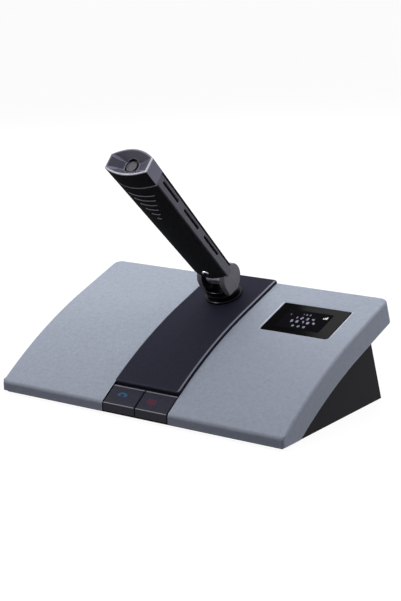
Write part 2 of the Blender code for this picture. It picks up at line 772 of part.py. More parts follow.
def make_display(materials, window):
    lens = bmesh.new()
    outline = window_outline(0.0)
    plate(lens, outline, (0.0, 0.0), -WINDOW_SINK - WINDOW_THICK, -WINDOW_SINK)
    finish("display_window", lens, materials["glass"], window)
    module = bmesh.new()
    border = MODULE_BORDER + GAP
    half_x, half_y = WINDOW_WIDTH / 2 - border, WINDOW_LENGTH / 2 - border
    top = -WINDOW_SINK - WINDOW_THICK - GAP
    face = rounded_outline(2 * half_x, 2 * half_y, WINDOW_RADIUS)
    plate(module, face, (0.0, 0.0), top - MODULE_THICK, top)
    finish("display_module", module, materials["display"], window)


# Lower housing


def on_rear_wall(rise):
    """The point of the rear wall's outer face this far up the wall from the desk side."""
    top_y, top_z = on_straight(STRAIGHT - REAR_SETBACK, 0.0)
    fall = (top_z - FLOOR_BOTTOM) / math.cos(REAR_SLOPE) - rise
    return Vector((0.0, top_y + fall * math.sin(REAR_SLOPE), top_z - fall * math.cos(REAR_SLOPE)))


def tray_solid():
    ledge_low = COVER_DEPTH - LEDGE_SINK
    ledge_top = ledge_low - LEDGE_THICK
    back = STRAIGHT - COVER_WALL - GAP
    wall = STRAIGHT - REAR_SETBACK
    front_y = FRONT_Y + COVER_WALL + GAP
    place = on_rear_wall(0.0)
    outline = [(front_y, FLOOR_BOTTOM), (place.y, FLOOR_BOTTOM), on_straight(wall, ledge_low)]
    outline.append(on_straight(back, ledge_low))
    top = skin_line(ledge_top, slope_at_z(FLOOR_TOP, ledge_top), back)
    outline += list(reversed(top)) + [(front_y, FLOOR_TOP)]
    bm = bmesh.new()
    prism(bm, outline, -TRAY_HALF, TRAY_HALF)

    rear_top = Vector((0.0, *on_straight(back, ledge_low)))
    along = Vector((0.0, math.cos(REAR_SLOPE), math.sin(REAR_SLOPE)))

    def ledge_corner(middle, edge):
        at_end = abs((middle - rear_top).dot(along)) < HAIR
        return at_end and abs(abs(middle.x) - TRAY_HALF) < HAIR

    soften(bm, sharp_edges(bm, ledge_corner), REAR_CORNER - COVER_WALL, CORNER_STEPS)
    return bm


def tray_hollow():
    wall = STRAIGHT - REAR_SETBACK - TRAY_WALL
    place = on_rear_wall(0.0)
    inner_y = place.y - TRAY_WALL / math.cos(REAR_SLOPE)
    rise = (FLOOR_TOP - FLOOR_BOTTOM) * math.tan(REAR_SLOPE)
    far = on_straight(wall, 0.0)
    bm = bmesh.new()
    outline = [(FRONT_Y - OVERRUN, FLOOR_TOP), (inner_y - rise, FLOOR_TOP), far]
    outline.append((FRONT_Y - OVERRUN, far[1]))
    prism(bm, outline, -TRAY_HALF + TRAY_WALL, TRAY_HALF - TRAY_WALL)
    return tool("tray_hollow", bm)


def board_posts():
    xs = (BOARD_LEFT + POST_INSET, BOARD_RIGHT - POST_INSET)
    ys = (BOARD_FRONT + POST_INSET, BOARD_REAR - POST_INSET)
    return [(x, y) for x in xs for y in ys]


def hatch_box():
    """Low and high corners of the hatch, in plan."""
    half_x = BATTERY_WIDTH / 2 + GAP + HATCH_BORDER
    half_y = BATTERY_LENGTH / 2 + GAP + HATCH_BORDER
    low = (BATTERY_X - half_x - HATCH_TAB, BATTERY_Y - half_y)
    return low, (BATTERY_X + half_x, BATTERY_Y + half_y)


def hatch_screw_place():
    low = hatch_box()[0]
    return (low[0] + HATCH_TAB / 2, BATTERY_Y)


def make_tray(materials, rear):
    tray = finish("lower_housing", tray_solid(), materials["housing"])
    combine(tray, tray_hollow())
    posts = bmesh.new()
    for place in board_posts():
        disc(posts, place, POST_RADIUS, FLOOR_TOP - GAP, BOARD_Z - GAP, SMALL_STEPS)
    boss_top = FLOOR_TOP + HATCH_BOSS_HEIGHT
    place = hatch_screw_place()
    disc(posts, place, HATCH_BOSS_RADIUS, FLOOR_TOP - GAP, boss_top, SMALL_STEPS)
    combine(tray, tool("tray_posts", posts), "UNION")

    cuts = bmesh.new()
    for foot in foot_places():
        top = FLOOR_BOTTOM + FOOT_RECESS + GAP
        disc(cuts, foot, FOOT_RADIUS + GAP, -OVERRUN, top, ROUND_STEPS)
    combine(tray, tool("foot_recesses", cuts))
    heads = bmesh.new()
    for boss in boss_places():
        top = FLOOR_BOTTOM + SCREW_HEAD + GAP
        disc(heads, boss, SCREW_HEAD_RADIUS + GAP, -OVERRUN, top, SMALL_STEPS)
    combine(tray, tool("screw_head_recesses", heads))
    holes = bmesh.new()
    for boss in boss_places():
        disc(holes, boss, screw_hole(SCREW_RADIUS), -OVERRUN, FLOOR_TOP + OVERRUN, SMALL_STEPS)
    combine(tray, tool("screw_holes", holes))

    low, high = hatch_box()
    hatch = bmesh.new()
    top = FLOOR_BOTTOM + HATCH_THICK + GAP
    box(hatch, (low[0] - GAP, low[1] - GAP, -OVERRUN), (high[0] + GAP, high[1] + GAP, top))
    combine(tray, tool("hatch_recess", hatch))
    bay = bmesh.new()
    half_x, half_y = BATTERY_WIDTH / 2 + GAP, BATTERY_LENGTH / 2 + GAP
    low = (BATTERY_X - half_x, BATTERY_Y - half_y, -OVERRUN)
    high = (BATTERY_X + half_x, BATTERY_Y + half_y, FLOOR_TOP + OVERRUN)
    box(bay, low, high)
    combine(tray, tool("battery_bay", bay))
    hole = bmesh.new()
    top = FLOOR_TOP + HATCH_BOSS_HEIGHT + OVERRUN
    disc(hole, hatch_screw_place(), screw_hole(SCREW_RADIUS), -OVERRUN, top, SMALL_STEPS)
    combine(tray, tool("hatch_screw_hole", hole))

    socket = bmesh.new()
    disc(socket, (SOCKET_X, 0.0), SOCKET_RADIUS + GAP, -TRAY_WALL - OVERRUN, OVERRUN)
    combine(tray, tool("socket_hole", socket, rear))
    slot = bmesh.new()
    half_x, half_y = POWER_SLOT_WIDTH / 2, POWER_SLOT_HEIGHT / 2
    low = (POWER_X - half_x, -half_y, -TRAY_WALL - OVERRUN)
    box(slot, low, (POWER_X + half_x, half_y, OVERRUN))
    combine(tray, tool("power_slot", slot, rear))
    return tray


def screw(bm, place, head_low, head_radius, head_height, radius, length):
    """A pan-head screw standing on its head, as one turned solid."""
    x, y = place
    rings = []
    top = head_low + head_height
    for r, z in ((head_radius, head_low), (head_radius, top), (radius, top), (radius, top + length)):
        turn = [2 * math.pi * index / SMALL_STEPS for index in range(SMALL_STEPS)]
        rings.append([(x + r * math.cos(a), y + r * math.sin(a), z) for a in turn])
    loft(bm, rings)


def make_underside(materials):
    foot_names = ("front_left_foot", "front_right_foot", "rear_left_foot", "rear_right_foot")
    for name, place in zip(foot_names, foot_places()):
        bm = bmesh.new()
        disc(bm, place, FOOT_RADIUS, 0.0, FLOOR_BOTTOM + FOOT_RECESS)
        finish(name, bm, materials["rubber"])
    screw_names = ("front_left_screw", "front_right_screw", "rear_left_screw", "rear_right_screw")
    for name, place in zip(screw_names, boss_places()):
        bm = bmesh.new()
        shank = SCREW_LENGTH - SCREW_HEAD - GAP
        screw(bm, place, FLOOR_BOTTOM, SCREW_HEAD_RADIUS, SCREW_HEAD, SCREW_RADIUS, shank)
        finish("case_" + name, bm, materials["steel"])
    low, high = hatch_box()
    bm = bmesh.new()
    box(bm, (*low, FLOOR_BOTTOM), (*high, FLOOR_BOTTOM + HATCH_THICK))
    hatch = finish("battery_hatch", bm, materials["housing"])
    hole = bmesh.new()
    place = hatch_screw_place()
    disc(hole, place, screw_hole(SCREW_RADIUS), -OVERRUN, FLOOR_TOP, SMALL_STEPS)
    combine(hatch, tool("hatch_hole", hole))
    head = bmesh.new()
    disc(head, place, SCREW_HEAD_RADIUS + GAP, -OVERRUN, FLOOR_BOTTOM + HATCH_SINK, SMALL_STEPS)
    combine(hatch, tool("hatch_head_recess", head))
    bm = bmesh.new()
    low_z = FLOOR_BOTTOM + HATCH_SINK - GAP - HATCH_SCREW_HEAD
    head_size = (SCREW_HEAD_RADIUS, HATCH_SCREW_HEAD)
    screw(bm, place, low_z, *head_size, SCREW_RADIUS, HATCH_SCREW_LENGTH)
    finish("hatch_screw", bm, materials["steel"])


def make_inside(materials, rear):
    battery = bmesh.new()
    outline = rounded_outline(BATTERY_WIDTH, BATTERY_LENGTH, BATTERY_ROUND)
    low = FLOOR_BOTTOM + HATCH_THICK + GAP
    plate(battery, outline, (BATTERY_X, BATTERY_Y), low, low + BATTERY_HEIGHT)
    finish("battery_pack", battery, materials["battery"])
    board = bmesh.new()
    top = BOARD_Z + BOARD_THICK
    box(board, (BOARD_LEFT, BOARD_FRONT, BOARD_Z), (BOARD_RIGHT, BOARD_REAR, top))
    finish("main_board", board, materials["board"])
    radio = bmesh.new()
    outline = rounded_outline(RADIO_WIDTH, RADIO_LENGTH, GAP)
    plate(radio, outline, (RADIO_X, RADIO_Y), top + GAP, top + GAP + RADIO_HEIGHT)
    finish("radio_module", radio, materials["steel"])

    socket = bmesh.new()
    half = SOCKET_BODY / 2
    deep = -TRAY_WALL - GAP - SOCKET_DEEP
    low = (SOCKET_X - half, -half, deep)
    box(socket, low, (SOCKET_X + half, half, -TRAY_WALL - GAP))
    charging = finish("charging_socket", socket, materials["gloss_black"], rear)
    nose = bmesh.new()
    disc(nose, (SOCKET_X, 0.0), SOCKET_RADIUS, deep + SOCKET_FLOOR, -GAP)
    combine(charging, tool("socket_nose", nose, rear), "UNION")
    bore = bmesh.new()
    disc(bore, (SOCKET_X, 0.0), SOCKET_BORE, deep + SOCKET_FLOOR, OVERRUN)
    combine(charging, tool("socket_bore", bore, rear))
    pin = bmesh.new()
    low_z = deep + SOCKET_FLOOR + GAP
    disc(pin, (SOCKET_X, 0.0), SOCKET_PIN, low_z, -TRAY_WALL, SMALL_STEPS)
    finish("charging_pin", pin, materials["steel"], rear)

    body = bmesh.new()
    half_x, half_y = POWER_BODY_WIDTH / 2, POWER_BODY_HEIGHT / 2
    front = -TRAY_WALL - GAP
    low = (POWER_X - half_x, -half_y, front - POWER_BODY_DEEP)
    box(body, low, (POWER_X + half_x, half_y, front))
    finish("power_switch", body, materials["steel"], rear)
    knob = bmesh.new()
    outline = rounded_outline(POWER_KNOB_WIDTH, POWER_SLOT_HEIGHT - 2 * GAP, GAP)
    centre = (-POWER_TRAVEL / 2, 0.0)
    plate(knob, outline, centre, front + GAP, POWER_KNOB_STANDOUT)
    piece = finish("power_knob", knob, materials["gloss_black"], rear)
    piece.location = (POWER_X, 0.0, 0.0)


# Turned joint of the microphone


def make_swivel(materials, swivel):
    ring = bmesh.new()
    low, high = GAP, GAP + RING_HEIGHT
    profile = [(RING_BORE, low), (RING_RADIUS, low), (RING_RADIUS, high - RING_CHAMFER)]
    profile += [(RING_RADIUS - RING_CHAMFER, high), (RING_BORE, high)]
    turned(ring, profile)
    finish("base_ring", ring, materials["gloss_black"], swivel)

    under = -PANEL_PROUD - CHANNEL_DEPTH - COVER_SKIN
    stack = under - GAP - WASHER_THICK - GAP - NUT_THICK
    disc_low = high + GAP
    waist = DISC_TOP + CUP_WAIST_HEIGHT
    inner = CUP_RADIUS - CUP_WALL
    outer = [(SPINDLE_RADIUS, stack - SPINDLE_STUB), (SPINDLE_RADIUS, disc_low)]
    outer += [(DISC_RADIUS - DISC_EDGE, disc_low), (DISC_RADIUS, disc_low + DISC_EDGE)]
    outer += [(DISC_RADIUS, DISC_TOP - DISC_EDGE), (DISC_RADIUS - DISC_EDGE, DISC_TOP)]
    outer += [(CUP_WAIST, DISC_TOP), (CUP_WAIST, waist)]
    outer += [(CUP_RADIUS - CUP_LIP, waist + CUP_LIP), (CUP_RADIUS, CUP_TOP - CUP_LIP)]
    outer += [(CUP_RADIUS - CUP_LIP, CUP_TOP), (inner, CUP_TOP), (inner - CUP_LIP, CUP_FLOOR)]
    profile = outer + [(SPINDLE_BORE, CUP_FLOOR), (SPINDLE_BORE, stack - SPINDLE_STUB)]
    bm = bmesh.new()
    turned(bm, profile)
    cup = finish("swivel_cup", bm, materials["gloss_black"], swivel)
    cuts = bmesh.new()
    for side in (-1, 1):
        near, far = side * (CHEEK_INNER - GAP), side * (CUP_RADIUS + OVERRUN)
        low_x, high_x = min(near, far), max(near, far)
        reach = CUP_RADIUS + OVERRUN
        seat = DISC_TOP + CHEEK_SEAT
        box(cuts, (low_x, -reach, seat), (high_x, reach, CUP_TOP + OVERRUN))
    combine(cup, tool("cheek_seats", cuts, swivel))
    holes = bmesh.new()
    for x, y in grub_places():
        disc(holes, (x, y), GRUB_RADIUS + GAP, disc_low - OVERRUN, CUP_TOP, SMALL_STEPS)
    grub_holes = tool("grub_holes", holes, swivel)
    combine(cup, grub_holes)

    washer = bmesh.new()
    low, high = under - GAP - WASHER_THICK, under - GAP
    bore = SPINDLE_RADIUS + GAP
    turned(washer, [(bore, low), (NUT_RADIUS, low), (NUT_RADIUS, high), (bore, high)])
    finish("swivel_washer", washer, materials["nylon"], swivel)
    nut = bmesh.new()
    disc(nut, (0.0, 0.0), NUT_RADIUS, stack, stack + NUT_THICK, NUT_SIDES)
    hexagon = finish("swivel_nut", nut, materials["steel"], swivel)
    thread = bmesh.new()
    disc(thread, (0.0, 0.0), bore, stack - OVERRUN, stack + NUT_THICK + OVERRUN)
    combine(hexagon, tool("nut_bore", thread, swivel))
    return grub_holes


def grub_places():
    x = CHEEK_INNER + CHEEK_THICK / 2 - GAP
    return [(side * x, -GRUB_FORWARD) for side in (-1, 1)]


def cheek_outline():
    """Side view of a cheek in the fork's frame: round about the pin, with a flat foot."""
    foot = DISC_TOP + CHEEK_SEAT + GAP
    points = [(CHEEK_FOOT_REAR, foot)]
    for index in range(CHEEK_STEPS + 1):
        angle = CHEEK_ARC_START + (CHEEK_ARC_END - CHEEK_ARC_START) * index / CHEEK_STEPS
        y = -PIVOT_FORWARD + CHEEK_RADIUS * math.cos(angle)
        points.append((y, PIVOT_HEIGHT + CHEEK_RADIUS * math.sin(angle)))
    points.append((-CHEEK_FOOT_FRONT, foot))
    return points


def make_fork(materials, swivel, grub_holes):
    pivot = (-PIVOT_FORWARD, PIVOT_HEIGHT)
    outer = CHEEK_INNER + CHEEK_THICK
    for name, side in (("left_cheek", -1), ("right_cheek", 1)):
        bm = bmesh.new()
        low_x, high_x = sorted((side * CHEEK_INNER, side * outer))
        prism(bm, cheek_outline(), low_x, high_x)

        def outside(middle, edge):
            flat = [abs(face.normal.x) > UPRIGHT_SHARE for face in edge.link_faces]
            return abs(abs(middle.x) - outer) < HAIR and flat.count(True) == 1

        soften(bm, sharp_edges(bm, outside), CHEEK_EDGE)
        cheek = finish(name, bm, materials["fork"], swivel)
        bore = bmesh.new()
        inside, deep = side * (CHEEK_INNER - OVERRUN), side * (CHEEK_INNER + PIN_SEAT + GAP)
        axle(bore, pivot, PIN_RADIUS + GAP, min(inside, deep), max(inside, deep), SMALL_STEPS)
        combine(cheek, tool(name + "_bore", bore, swivel))
        combine(cheek, grub_holes)
    for name, (x, y) in zip(("left_cheek_screw", "right_cheek_screw"), grub_places()):
        bm = bmesh.new()
        low = GAP + RING_HEIGHT + GAP + GAP
        disc(bm, (x, y), GRUB_RADIUS, low, low + GRUB_LENGTH, SMALL_STEPS)
        finish(name, bm, materials["steel"], swivel)
    reach = CHEEK_INNER + PIN_SEAT
    pin = bmesh.new()
    axle(pin, pivot, PIN_RADIUS, -reach, reach, SMALL_STEPS)
    finish("hinge_pin", pin, materials["steel"], swivel)
    for name, side in (("left_brake_washer", -1), ("right_brake_washer", 1)):
        bm = bmesh.new()
        bore = PIN_RADIUS + GAP
        near = CHEEK_INNER - GAP - BRAKE_THICK
        profile = [(bore, near), (BRAKE_RADIUS, near)]
        profile += [(BRAKE_RADIUS, near + BRAKE_THICK), (bore, near + BRAKE_THICK)]
        turned(bm, profile)
        bm.transform(Matrix.Rotation(side * math.pi / 2, 4, "Y"))
        bm.transform(Matrix.Translation((0.0, *pivot)))
        finish(name, bm, materials["nylon"], swivel)


# Microphone arm


def blend(foot, head, s):
    return foot + (head - foot) * s / ARM_LENGTH


def arm_half(s):
    return blend(ARM_FOOT_HALF, ARM_HEAD_HALF, s)


def arm_edge(s):
    return blend(ARM_FOOT_EDGE, ARM_HEAD_EDGE, s)


def arm_face(s, x, inset, back):
    """How far the front or back face stands from the arm's middle plane, at this x."""
    half = arm_half(s)
    crown = blend(ARM_FOOT_BACK, ARM_HEAD_BACK, s) if back else blend(ARM_FOOT_FRONT, ARM_HEAD_FRONT, s)
    return arm_edge(s) - inset + crown * (1 - (x / half) ** 2)


def arm_arc(s, inset, back, steps=SECTION_STEPS):
    """Points across one face, from -x to +x, this far inside it."""
    half = arm_half(s) - inset
    sign = 1 if back else -1
    xs = [half * (2 * index / steps - 1) for index in range(steps + 1)]
    return [(x, sign * arm_face(s, x, inset, back)) for x in xs]


def arm_section(s, inset):
    """The whole outline of the arm at this length, as (x, n, s) points."""
    front = arm_arc(s, inset, False)
    back = arm_arc(s, inset, True)
    return [(x, n, s) for x, n in front + list(reversed(back))]


def shell_section(s, back):
    """A shell's outline: one face of the arm with its two short sides."""
    sign = 1 if back else -1
    side = ARM_BACK_SIDE if back else ARM_FRONT_SIDE
    half = arm_half(s)
    lip = sign * (arm_edge(s) - side)
    outer = [(-half, lip)] + arm_arc(s, 0.0, back) + [(half, lip)]
    inner_half = half - ARM_WALL
    inner = [(-inner_half, lip)]
    for x, n in arm_arc(s, ARM_WALL, back):
        inner.append((x, sign * max(sign * n, sign * lip + HAIR)))
    inner.append((inner_half, lip))
    return [(x, n, s) for x, n in outer + list(reversed(inner))]


def foot_cut(tilt):
    """The round hollow in the arm's foot, about the pin, that clears the cheeks."""
    bm = bmesh.new()
    reach = arm_half(ARM_LENGTH)
    axle(bm, (0.0, 0.0), CHEEK_RADIUS + ARM_CLEARANCE, -reach, reach, FOOT_CUT_STEPS)
    return tool("arm_foot_cut", bm, tilt)


def sound_cuts(tilt):
    bm = bmesh.new()
    for row in range(SOUND_ROWS):
        share = row / (SOUND_ROWS - 1)
        half = SOUND_FIRST_HALF + (SOUND_LAST_HALF - SOUND_FIRST_HALF) * share
        s = SOUND_FIRST - row * SOUND_PITCH
        outline = slot_outline(half, SOUND_HEIGHT / 2)
        deep = arm_edge(s) + blend(ARM_FOOT_FRONT, ARM_HEAD_FRONT, s) + OVERRUN
        near = arm_edge(s) - ARM_WALL - OVERRUN
        loft(bm, [[(x, n, s + z) for x, z in outline] for n in (-deep, -near)])
    return tool("sound_slots", bm, tilt)


def slot_outline(half, end_radius, steps=4):
    """A slot with round ends along its first axis, or a round hole where it is short."""
    run = max(half - end_radius, HAIR)
    points = []
    for side, start in ((1, -math.pi / 2), (-1, math.pi / 2)):
        for step in range(steps + 1):
            angle = start + math.pi * step / steps
            points.append((side * run + end_radius * math.cos(angle), end_radius * math.sin(angle)))
    return points


def strip_limits(s):
    """The front and back edges of a side strip at this length."""
    edge = arm_edge(s)
    return -edge + ARM_FRONT_SIDE + ARM_SPLIT * 2, edge - ARM_BACK_SIDE - ARM_SPLIT * 2


def strip_outline(end, steps=4):
    """A side strip seen square to it: straight at the head, rounded where it covers the cheek."""
    low, high = strip_limits(STRIP_FOOT)
    points = [(strip_limits(end)[1], end), (strip_limits(end)[0], end)]
    for quarter, centre in ((2, low + STRIP_CORNER), (3, high - STRIP_CORNER)):
        for step in range(steps + 1):
            angle = (quarter + step / steps) * math.pi / 2
            n = centre + STRIP_CORNER * math.cos(angle)
            points.append((n, STRIP_FOOT + STRIP_CORNER + STRIP_CORNER * math.sin(angle)))
    return points


def side_slot_cuts(tilt):
    bm = bmesh.new()
    reach = arm_half(ARM_LENGTH) + OVERRUN
    for index in range(SIDE_SLOTS):
        s = SIDE_SLOT_FIRST + index * SIDE_SLOT_PITCH
        outline = slot_outline(SIDE_SLOT_LENGTH / 2, SIDE_SLOT_HEIGHT / 2)
        for side in (-1, 1):
            near, far = sorted((side * ARM_FOOT_HALF / 2, side * reach))
            loops = []
            for x in (near, far):
                loops.append([(x, n + SIDE_SLOT_BACK, s + along) for along, n in outline])
            loft(bm, loops)
    return tool("side_slots", bm, tilt)


def make_arm_shells(materials, tilt):
    end = CAP_START - GAP
    cut = foot_cut(tilt)
    for name, back in (("arm_front_shell", False), ("arm_rear_shell", True)):
        bm = bmesh.new()
        loft(bm, [shell_section(s, back) for s in (0.0, end)])
        shell = finish(name, bm, materials["arm_dark"], tilt)
        combine(shell, cut)
        if not back:
            combine(shell, sound_cuts(tilt))
            front = arm_face(ARM_SCREW_S, 0.0, 0.0, False)
            seat = front - ARM_SCREW_SINK
            hole, head = ARM_SCREW_RADIUS + GAP, ARM_SCREW_HEAD_RADIUS + GAP
            steps = ((hole, NECK_FRONT), (hole, seat), (head, seat), (head, front + OVERRUN))
            combine(shell, arm_screw_tool(tilt, steps, "arm_screw_hole"))
    slots = side_slot_cuts(tilt)
    for name, side in (("left_side_strip", -1), ("right_side_strip", 1)):
        bm = bmesh.new()
        outline = strip_outline(end)
        loops = []
        for sink in (STRIP_SINK + STRIP_THICK, STRIP_SINK):
            loops.append([(side * (arm_half(s) - sink), n, s) for n, s in outline])
        loft(bm, loops)
        strip = finish(name, bm, materials["strip"], tilt)
        combine(strip, slots)
    last = SIDE_SLOT_FIRST + (SIDE_SLOTS - 1) * SIDE_SLOT_PITCH + SIDE_SLOT_LENGTH / 2
    for name, side in (("left_slot_mesh", -1), ("right_slot_mesh", 1)):
        bm = bmesh.new()
        loops = []
        for s in (SIDE_SLOT_FIRST - SIDE_SLOT_LENGTH / 2 - MESH_MARGIN, last + MESH_MARGIN):
            outer = arm_half(s) - STRIP_SINK - STRIP_THICK - GAP
            half = SIDE_SLOT_HEIGHT / 2 + MESH_MARGIN
            inner = outer - MESH_THICK
            back = SIDE_SLOT_BACK + half
            front = SIDE_SLOT_BACK - half
            corners = ((inner, front), (outer, front), (outer, back), (inner, back))
            loops.append([(side * x, n, s) for x, n in corners])
        loft(bm, loops)
        finish(name, bm, materials["cloth"], tilt)


def arm_screw_rings(steps):
    """Rings of (radius, depth) about the arm screw, square to the arm's front face."""
    turn = [2 * math.pi * index / SMALL_STEPS for index in range(SMALL_STEPS)]
    rings = []
    for radius, n in steps:
        rings.append([(radius * math.cos(a), -n, ARM_SCREW_S + radius * math.sin(a)) for a in turn])
    return rings


def arm_screw_tool(tilt, steps, name):
    bm = bmesh.new()
    loft(bm, arm_screw_rings(steps))
    return tool(name, bm, tilt)


def make_knuckle(materials, tilt):
    """The barrel between the cheeks and the neck that carries the arm's shells."""
    half = CHEEK_INNER - 2 * GAP - BRAKE_THICK
    bm = bmesh.new()
    axle(bm, (0.0, 0.0), KNUCKLE_RADIUS, -half, half)
    knuckle = finish("arm_knuckle", bm, materials["gloss_black"], tilt)
    neck = bmesh.new()
    box(neck, (-half + HAIR, -NECK_FRONT, 0.0), (half - HAIR, NECK_BACK, NECK_TOP))
    combine(knuckle, tool("knuckle_neck", neck, tilt), "UNION")
    bore = bmesh.new()
    reach = half + OVERRUN
    axle(bore, (0.0, 0.0), PIN_RADIUS + GAP, -reach, reach, SMALL_STEPS)
    combine(knuckle, tool("knuckle_bore", bore, tilt))
    front = arm_face(ARM_SCREW_S, 0.0, 0.0, False)
    tip = NECK_FRONT - ARM_SCREW_BITE
    hole = ARM_SCREW_RADIUS + GAP
    steps = ((hole, tip - GAP), (hole, front))
    combine(knuckle, arm_screw_tool(tilt, steps, "knuckle_screw_hole"))

    seat = front - ARM_SCREW_SINK + GAP
    dome = seat + ARM_SCREW_HEAD
    profile = ((ARM_SCREW_RADIUS, tip), (ARM_SCREW_RADIUS, seat), (ARM_SCREW_HEAD_RADIUS, seat))
    profile += ((ARM_SCREW_HEAD_RADIUS, dome - CAP_EDGE), (ARM_SCREW_HEAD_RADIUS - CAP_EDGE, dome))
    bolt = bmesh.new()
    loft(bolt, arm_screw_rings(profile))
    finish("arm_screw", bolt, materials["steel"], tilt)


def grille_centre():
    """The middle of the head's end face, across its thickness."""
    front = arm_face(ARM_LENGTH, 0.0, 0.0, False)
    back = arm_face(ARM_LENGTH, 0.0, 0.0, True)
    return (back - front) / 2


def head_recess(top):
    """Four facets that fall from the rim to a small oblong floor."""
    front = arm_arc(ARM_LENGTH, CAP_RIM, False)
    back = list(reversed(arm_arc(ARM_LENGTH, CAP_RIM, True)))
    side_steps = 4
    right = between(front[-1], back[0], side_steps)
    left = between(back[-1], front[0], side_steps)
    low_n, high_n = grille_centre() - FACET_FLOOR_DEPTH / 2, grille_centre() + FACET_FLOOR_DEPTH / 2
    half = FACET_FLOOR_WIDTH / 2
    corners = [(-half, low_n), (half, low_n), (half, high_n), (-half, high_n)]
    low_loop, high_loop = [], []
    floor = ARM_LENGTH - RECESS_DEPTH
    grow = (top - floor) / RECESS_DEPTH
    for index, side in enumerate((front, right, back, left)):
        inner = between(corners[index], corners[(index + 1) % 4], len(side) - 1)
        for (x, n), (x0, n0) in zip(side[:-1], inner):
            low_loop.append((x0, n0, floor))
            high_loop.append((x0 + (x - x0) * grow, n0 + (n - n0) * grow, top))
    return low_loop, high_loop


def between(start, end, steps):
    """Evenly spaced points from one (x, n) point to another."""
    points = []
    for index in range(steps + 1):
        share = index / steps
        points.append((start[0] + (end[0] - start[0]) * share, start[1] + (end[1] - start[1]) * share))
    return points


def make_head(materials, tilt):
    bm = bmesh.new()
    loft(bm, [arm_section(s, 0.0) for s in (CAP_START, ARM_LENGTH)])

    def rim(middle, edge):
        return abs(middle.z - ARM_LENGTH) < HAIR

    soften(bm, sharp_edges(bm, rim), CAP_EDGE, 1)
    cap = finish("head_cap", bm, materials["cap"], tilt)
    cavity = bmesh.new()
    loft(cavity, [arm_section(s, ARM_WALL) for s in (CAP_START - OVERRUN, CAP_CAVITY_TOP)])
    combine(cap, tool("cap_cavity", cavity, tilt))

    floor = ARM_LENGTH - RECESS_DEPTH
    top = ARM_LENGTH + OVERRUN
    centre_n = grille_centre()
    funnel = bmesh.new()
    loft(funnel, head_recess(top))
    combine(cap, tool("head_recess", funnel, tilt))
    pit = bmesh.new()
    disc(pit, (0.0, centre_n), RING_PIT_RADIUS, floor - RING_PIT_DEPTH, floor + RING_PIT_TOP)
    combine(cap, tool("ring_pit", pit, tilt))
    socket = bmesh.new()
    low = floor - GRILLE_SOCKET
    disc(socket, (0.0, centre_n), GRILLE_RADIUS + GAP, low, floor + GAP)
    combine(cap, tool("grille_socket", socket, tilt))
    bore = bmesh.new()
    disc(bore, (0.0, centre_n), SOUND_BORE, CAP_CAVITY_TOP - OVERRUN, floor, SMALL_STEPS)
    combine(cap, tool("sound_bore", bore, tilt))

    grille = bmesh.new()
    disc(grille, (0.0, centre_n), GRILLE_RADIUS, low + GAP, floor + GRILLE_PROUD)
    button = finish("capsule_grille", grille, materials["cap"], tilt)
    holes = bmesh.new()
    for count, share in GRILLE_RING_SHARES:
        radius = share * GRILLE_RADIUS
        for index in range(count):
            angle = 2 * math.pi * index / count
            place = (radius * math.cos(angle), centre_n + radius * math.sin(angle))
            disc(holes, place, GRILLE_HOLE, low - OVERRUN, floor + OVERRUN, GRILLE_HOLE_STEPS)
    combine(button, tool("grille_holes", holes, tilt))

    capsule = bmesh.new()
    high = CAP_CAVITY_TOP - GAP
    disc(capsule, (0.0, centre_n), CAPSULE_RADIUS, high - CAPSULE_LENGTH, high)
    finish("mic_capsule", capsule, materials["steel"], tilt)
    sleeve = bmesh.new()
    bore_radius = CAPSULE_RADIUS + GAP
    low = high - CAPSULE_LENGTH
    profile = [(bore_radius, low), (SLEEVE_RADIUS, low), (SLEEVE_RADIUS, high), (bore_radius, high)]
    turned(sleeve, profile)
    bmesh.ops.translate(sleeve, verts=sleeve.verts, vec=(0.0, centre_n, 0.0))
    finish("capsule_sleeve", sleeve, materials["rubber"], tilt)


def make_arm_board(materials, tilt):
    """The small amplifier board, on two posts that stand on the rear shell."""
    board = bmesh.new()
    low = (-ARM_BOARD_HALF, -ARM_BOARD_THICK / 2, ARM_BOARD_START)
    box(board, low, (ARM_BOARD_HALF, ARM_BOARD_THICK / 2, ARM_BOARD_END))
    finish("arm_board", board, materials["board"], tilt)
    posts = bmesh.new()
    for s in (ARM_BOARD_START + ARM_POST_INSET, ARM_BOARD_END - ARM_POST_INSET):
        turn = [2 * math.pi * index / SMALL_STEPS for index in range(SMALL_STEPS)]
        ring = [(ARM_POST_RADIUS * math.cos(a), s + ARM_POST_RADIUS * math.sin(a)) for a in turn]
        near = ARM_BOARD_THICK / 2 + GAP
        far = arm_face(s, 0.0, ARM_WALL, True) + GAP
        loft(posts, [[(x, n, z) for x, z in ring] for n in (near, far)])
    combine(bpy.data.objects["arm_rear_shell"], tool("arm_posts", posts, tilt), "UNION")


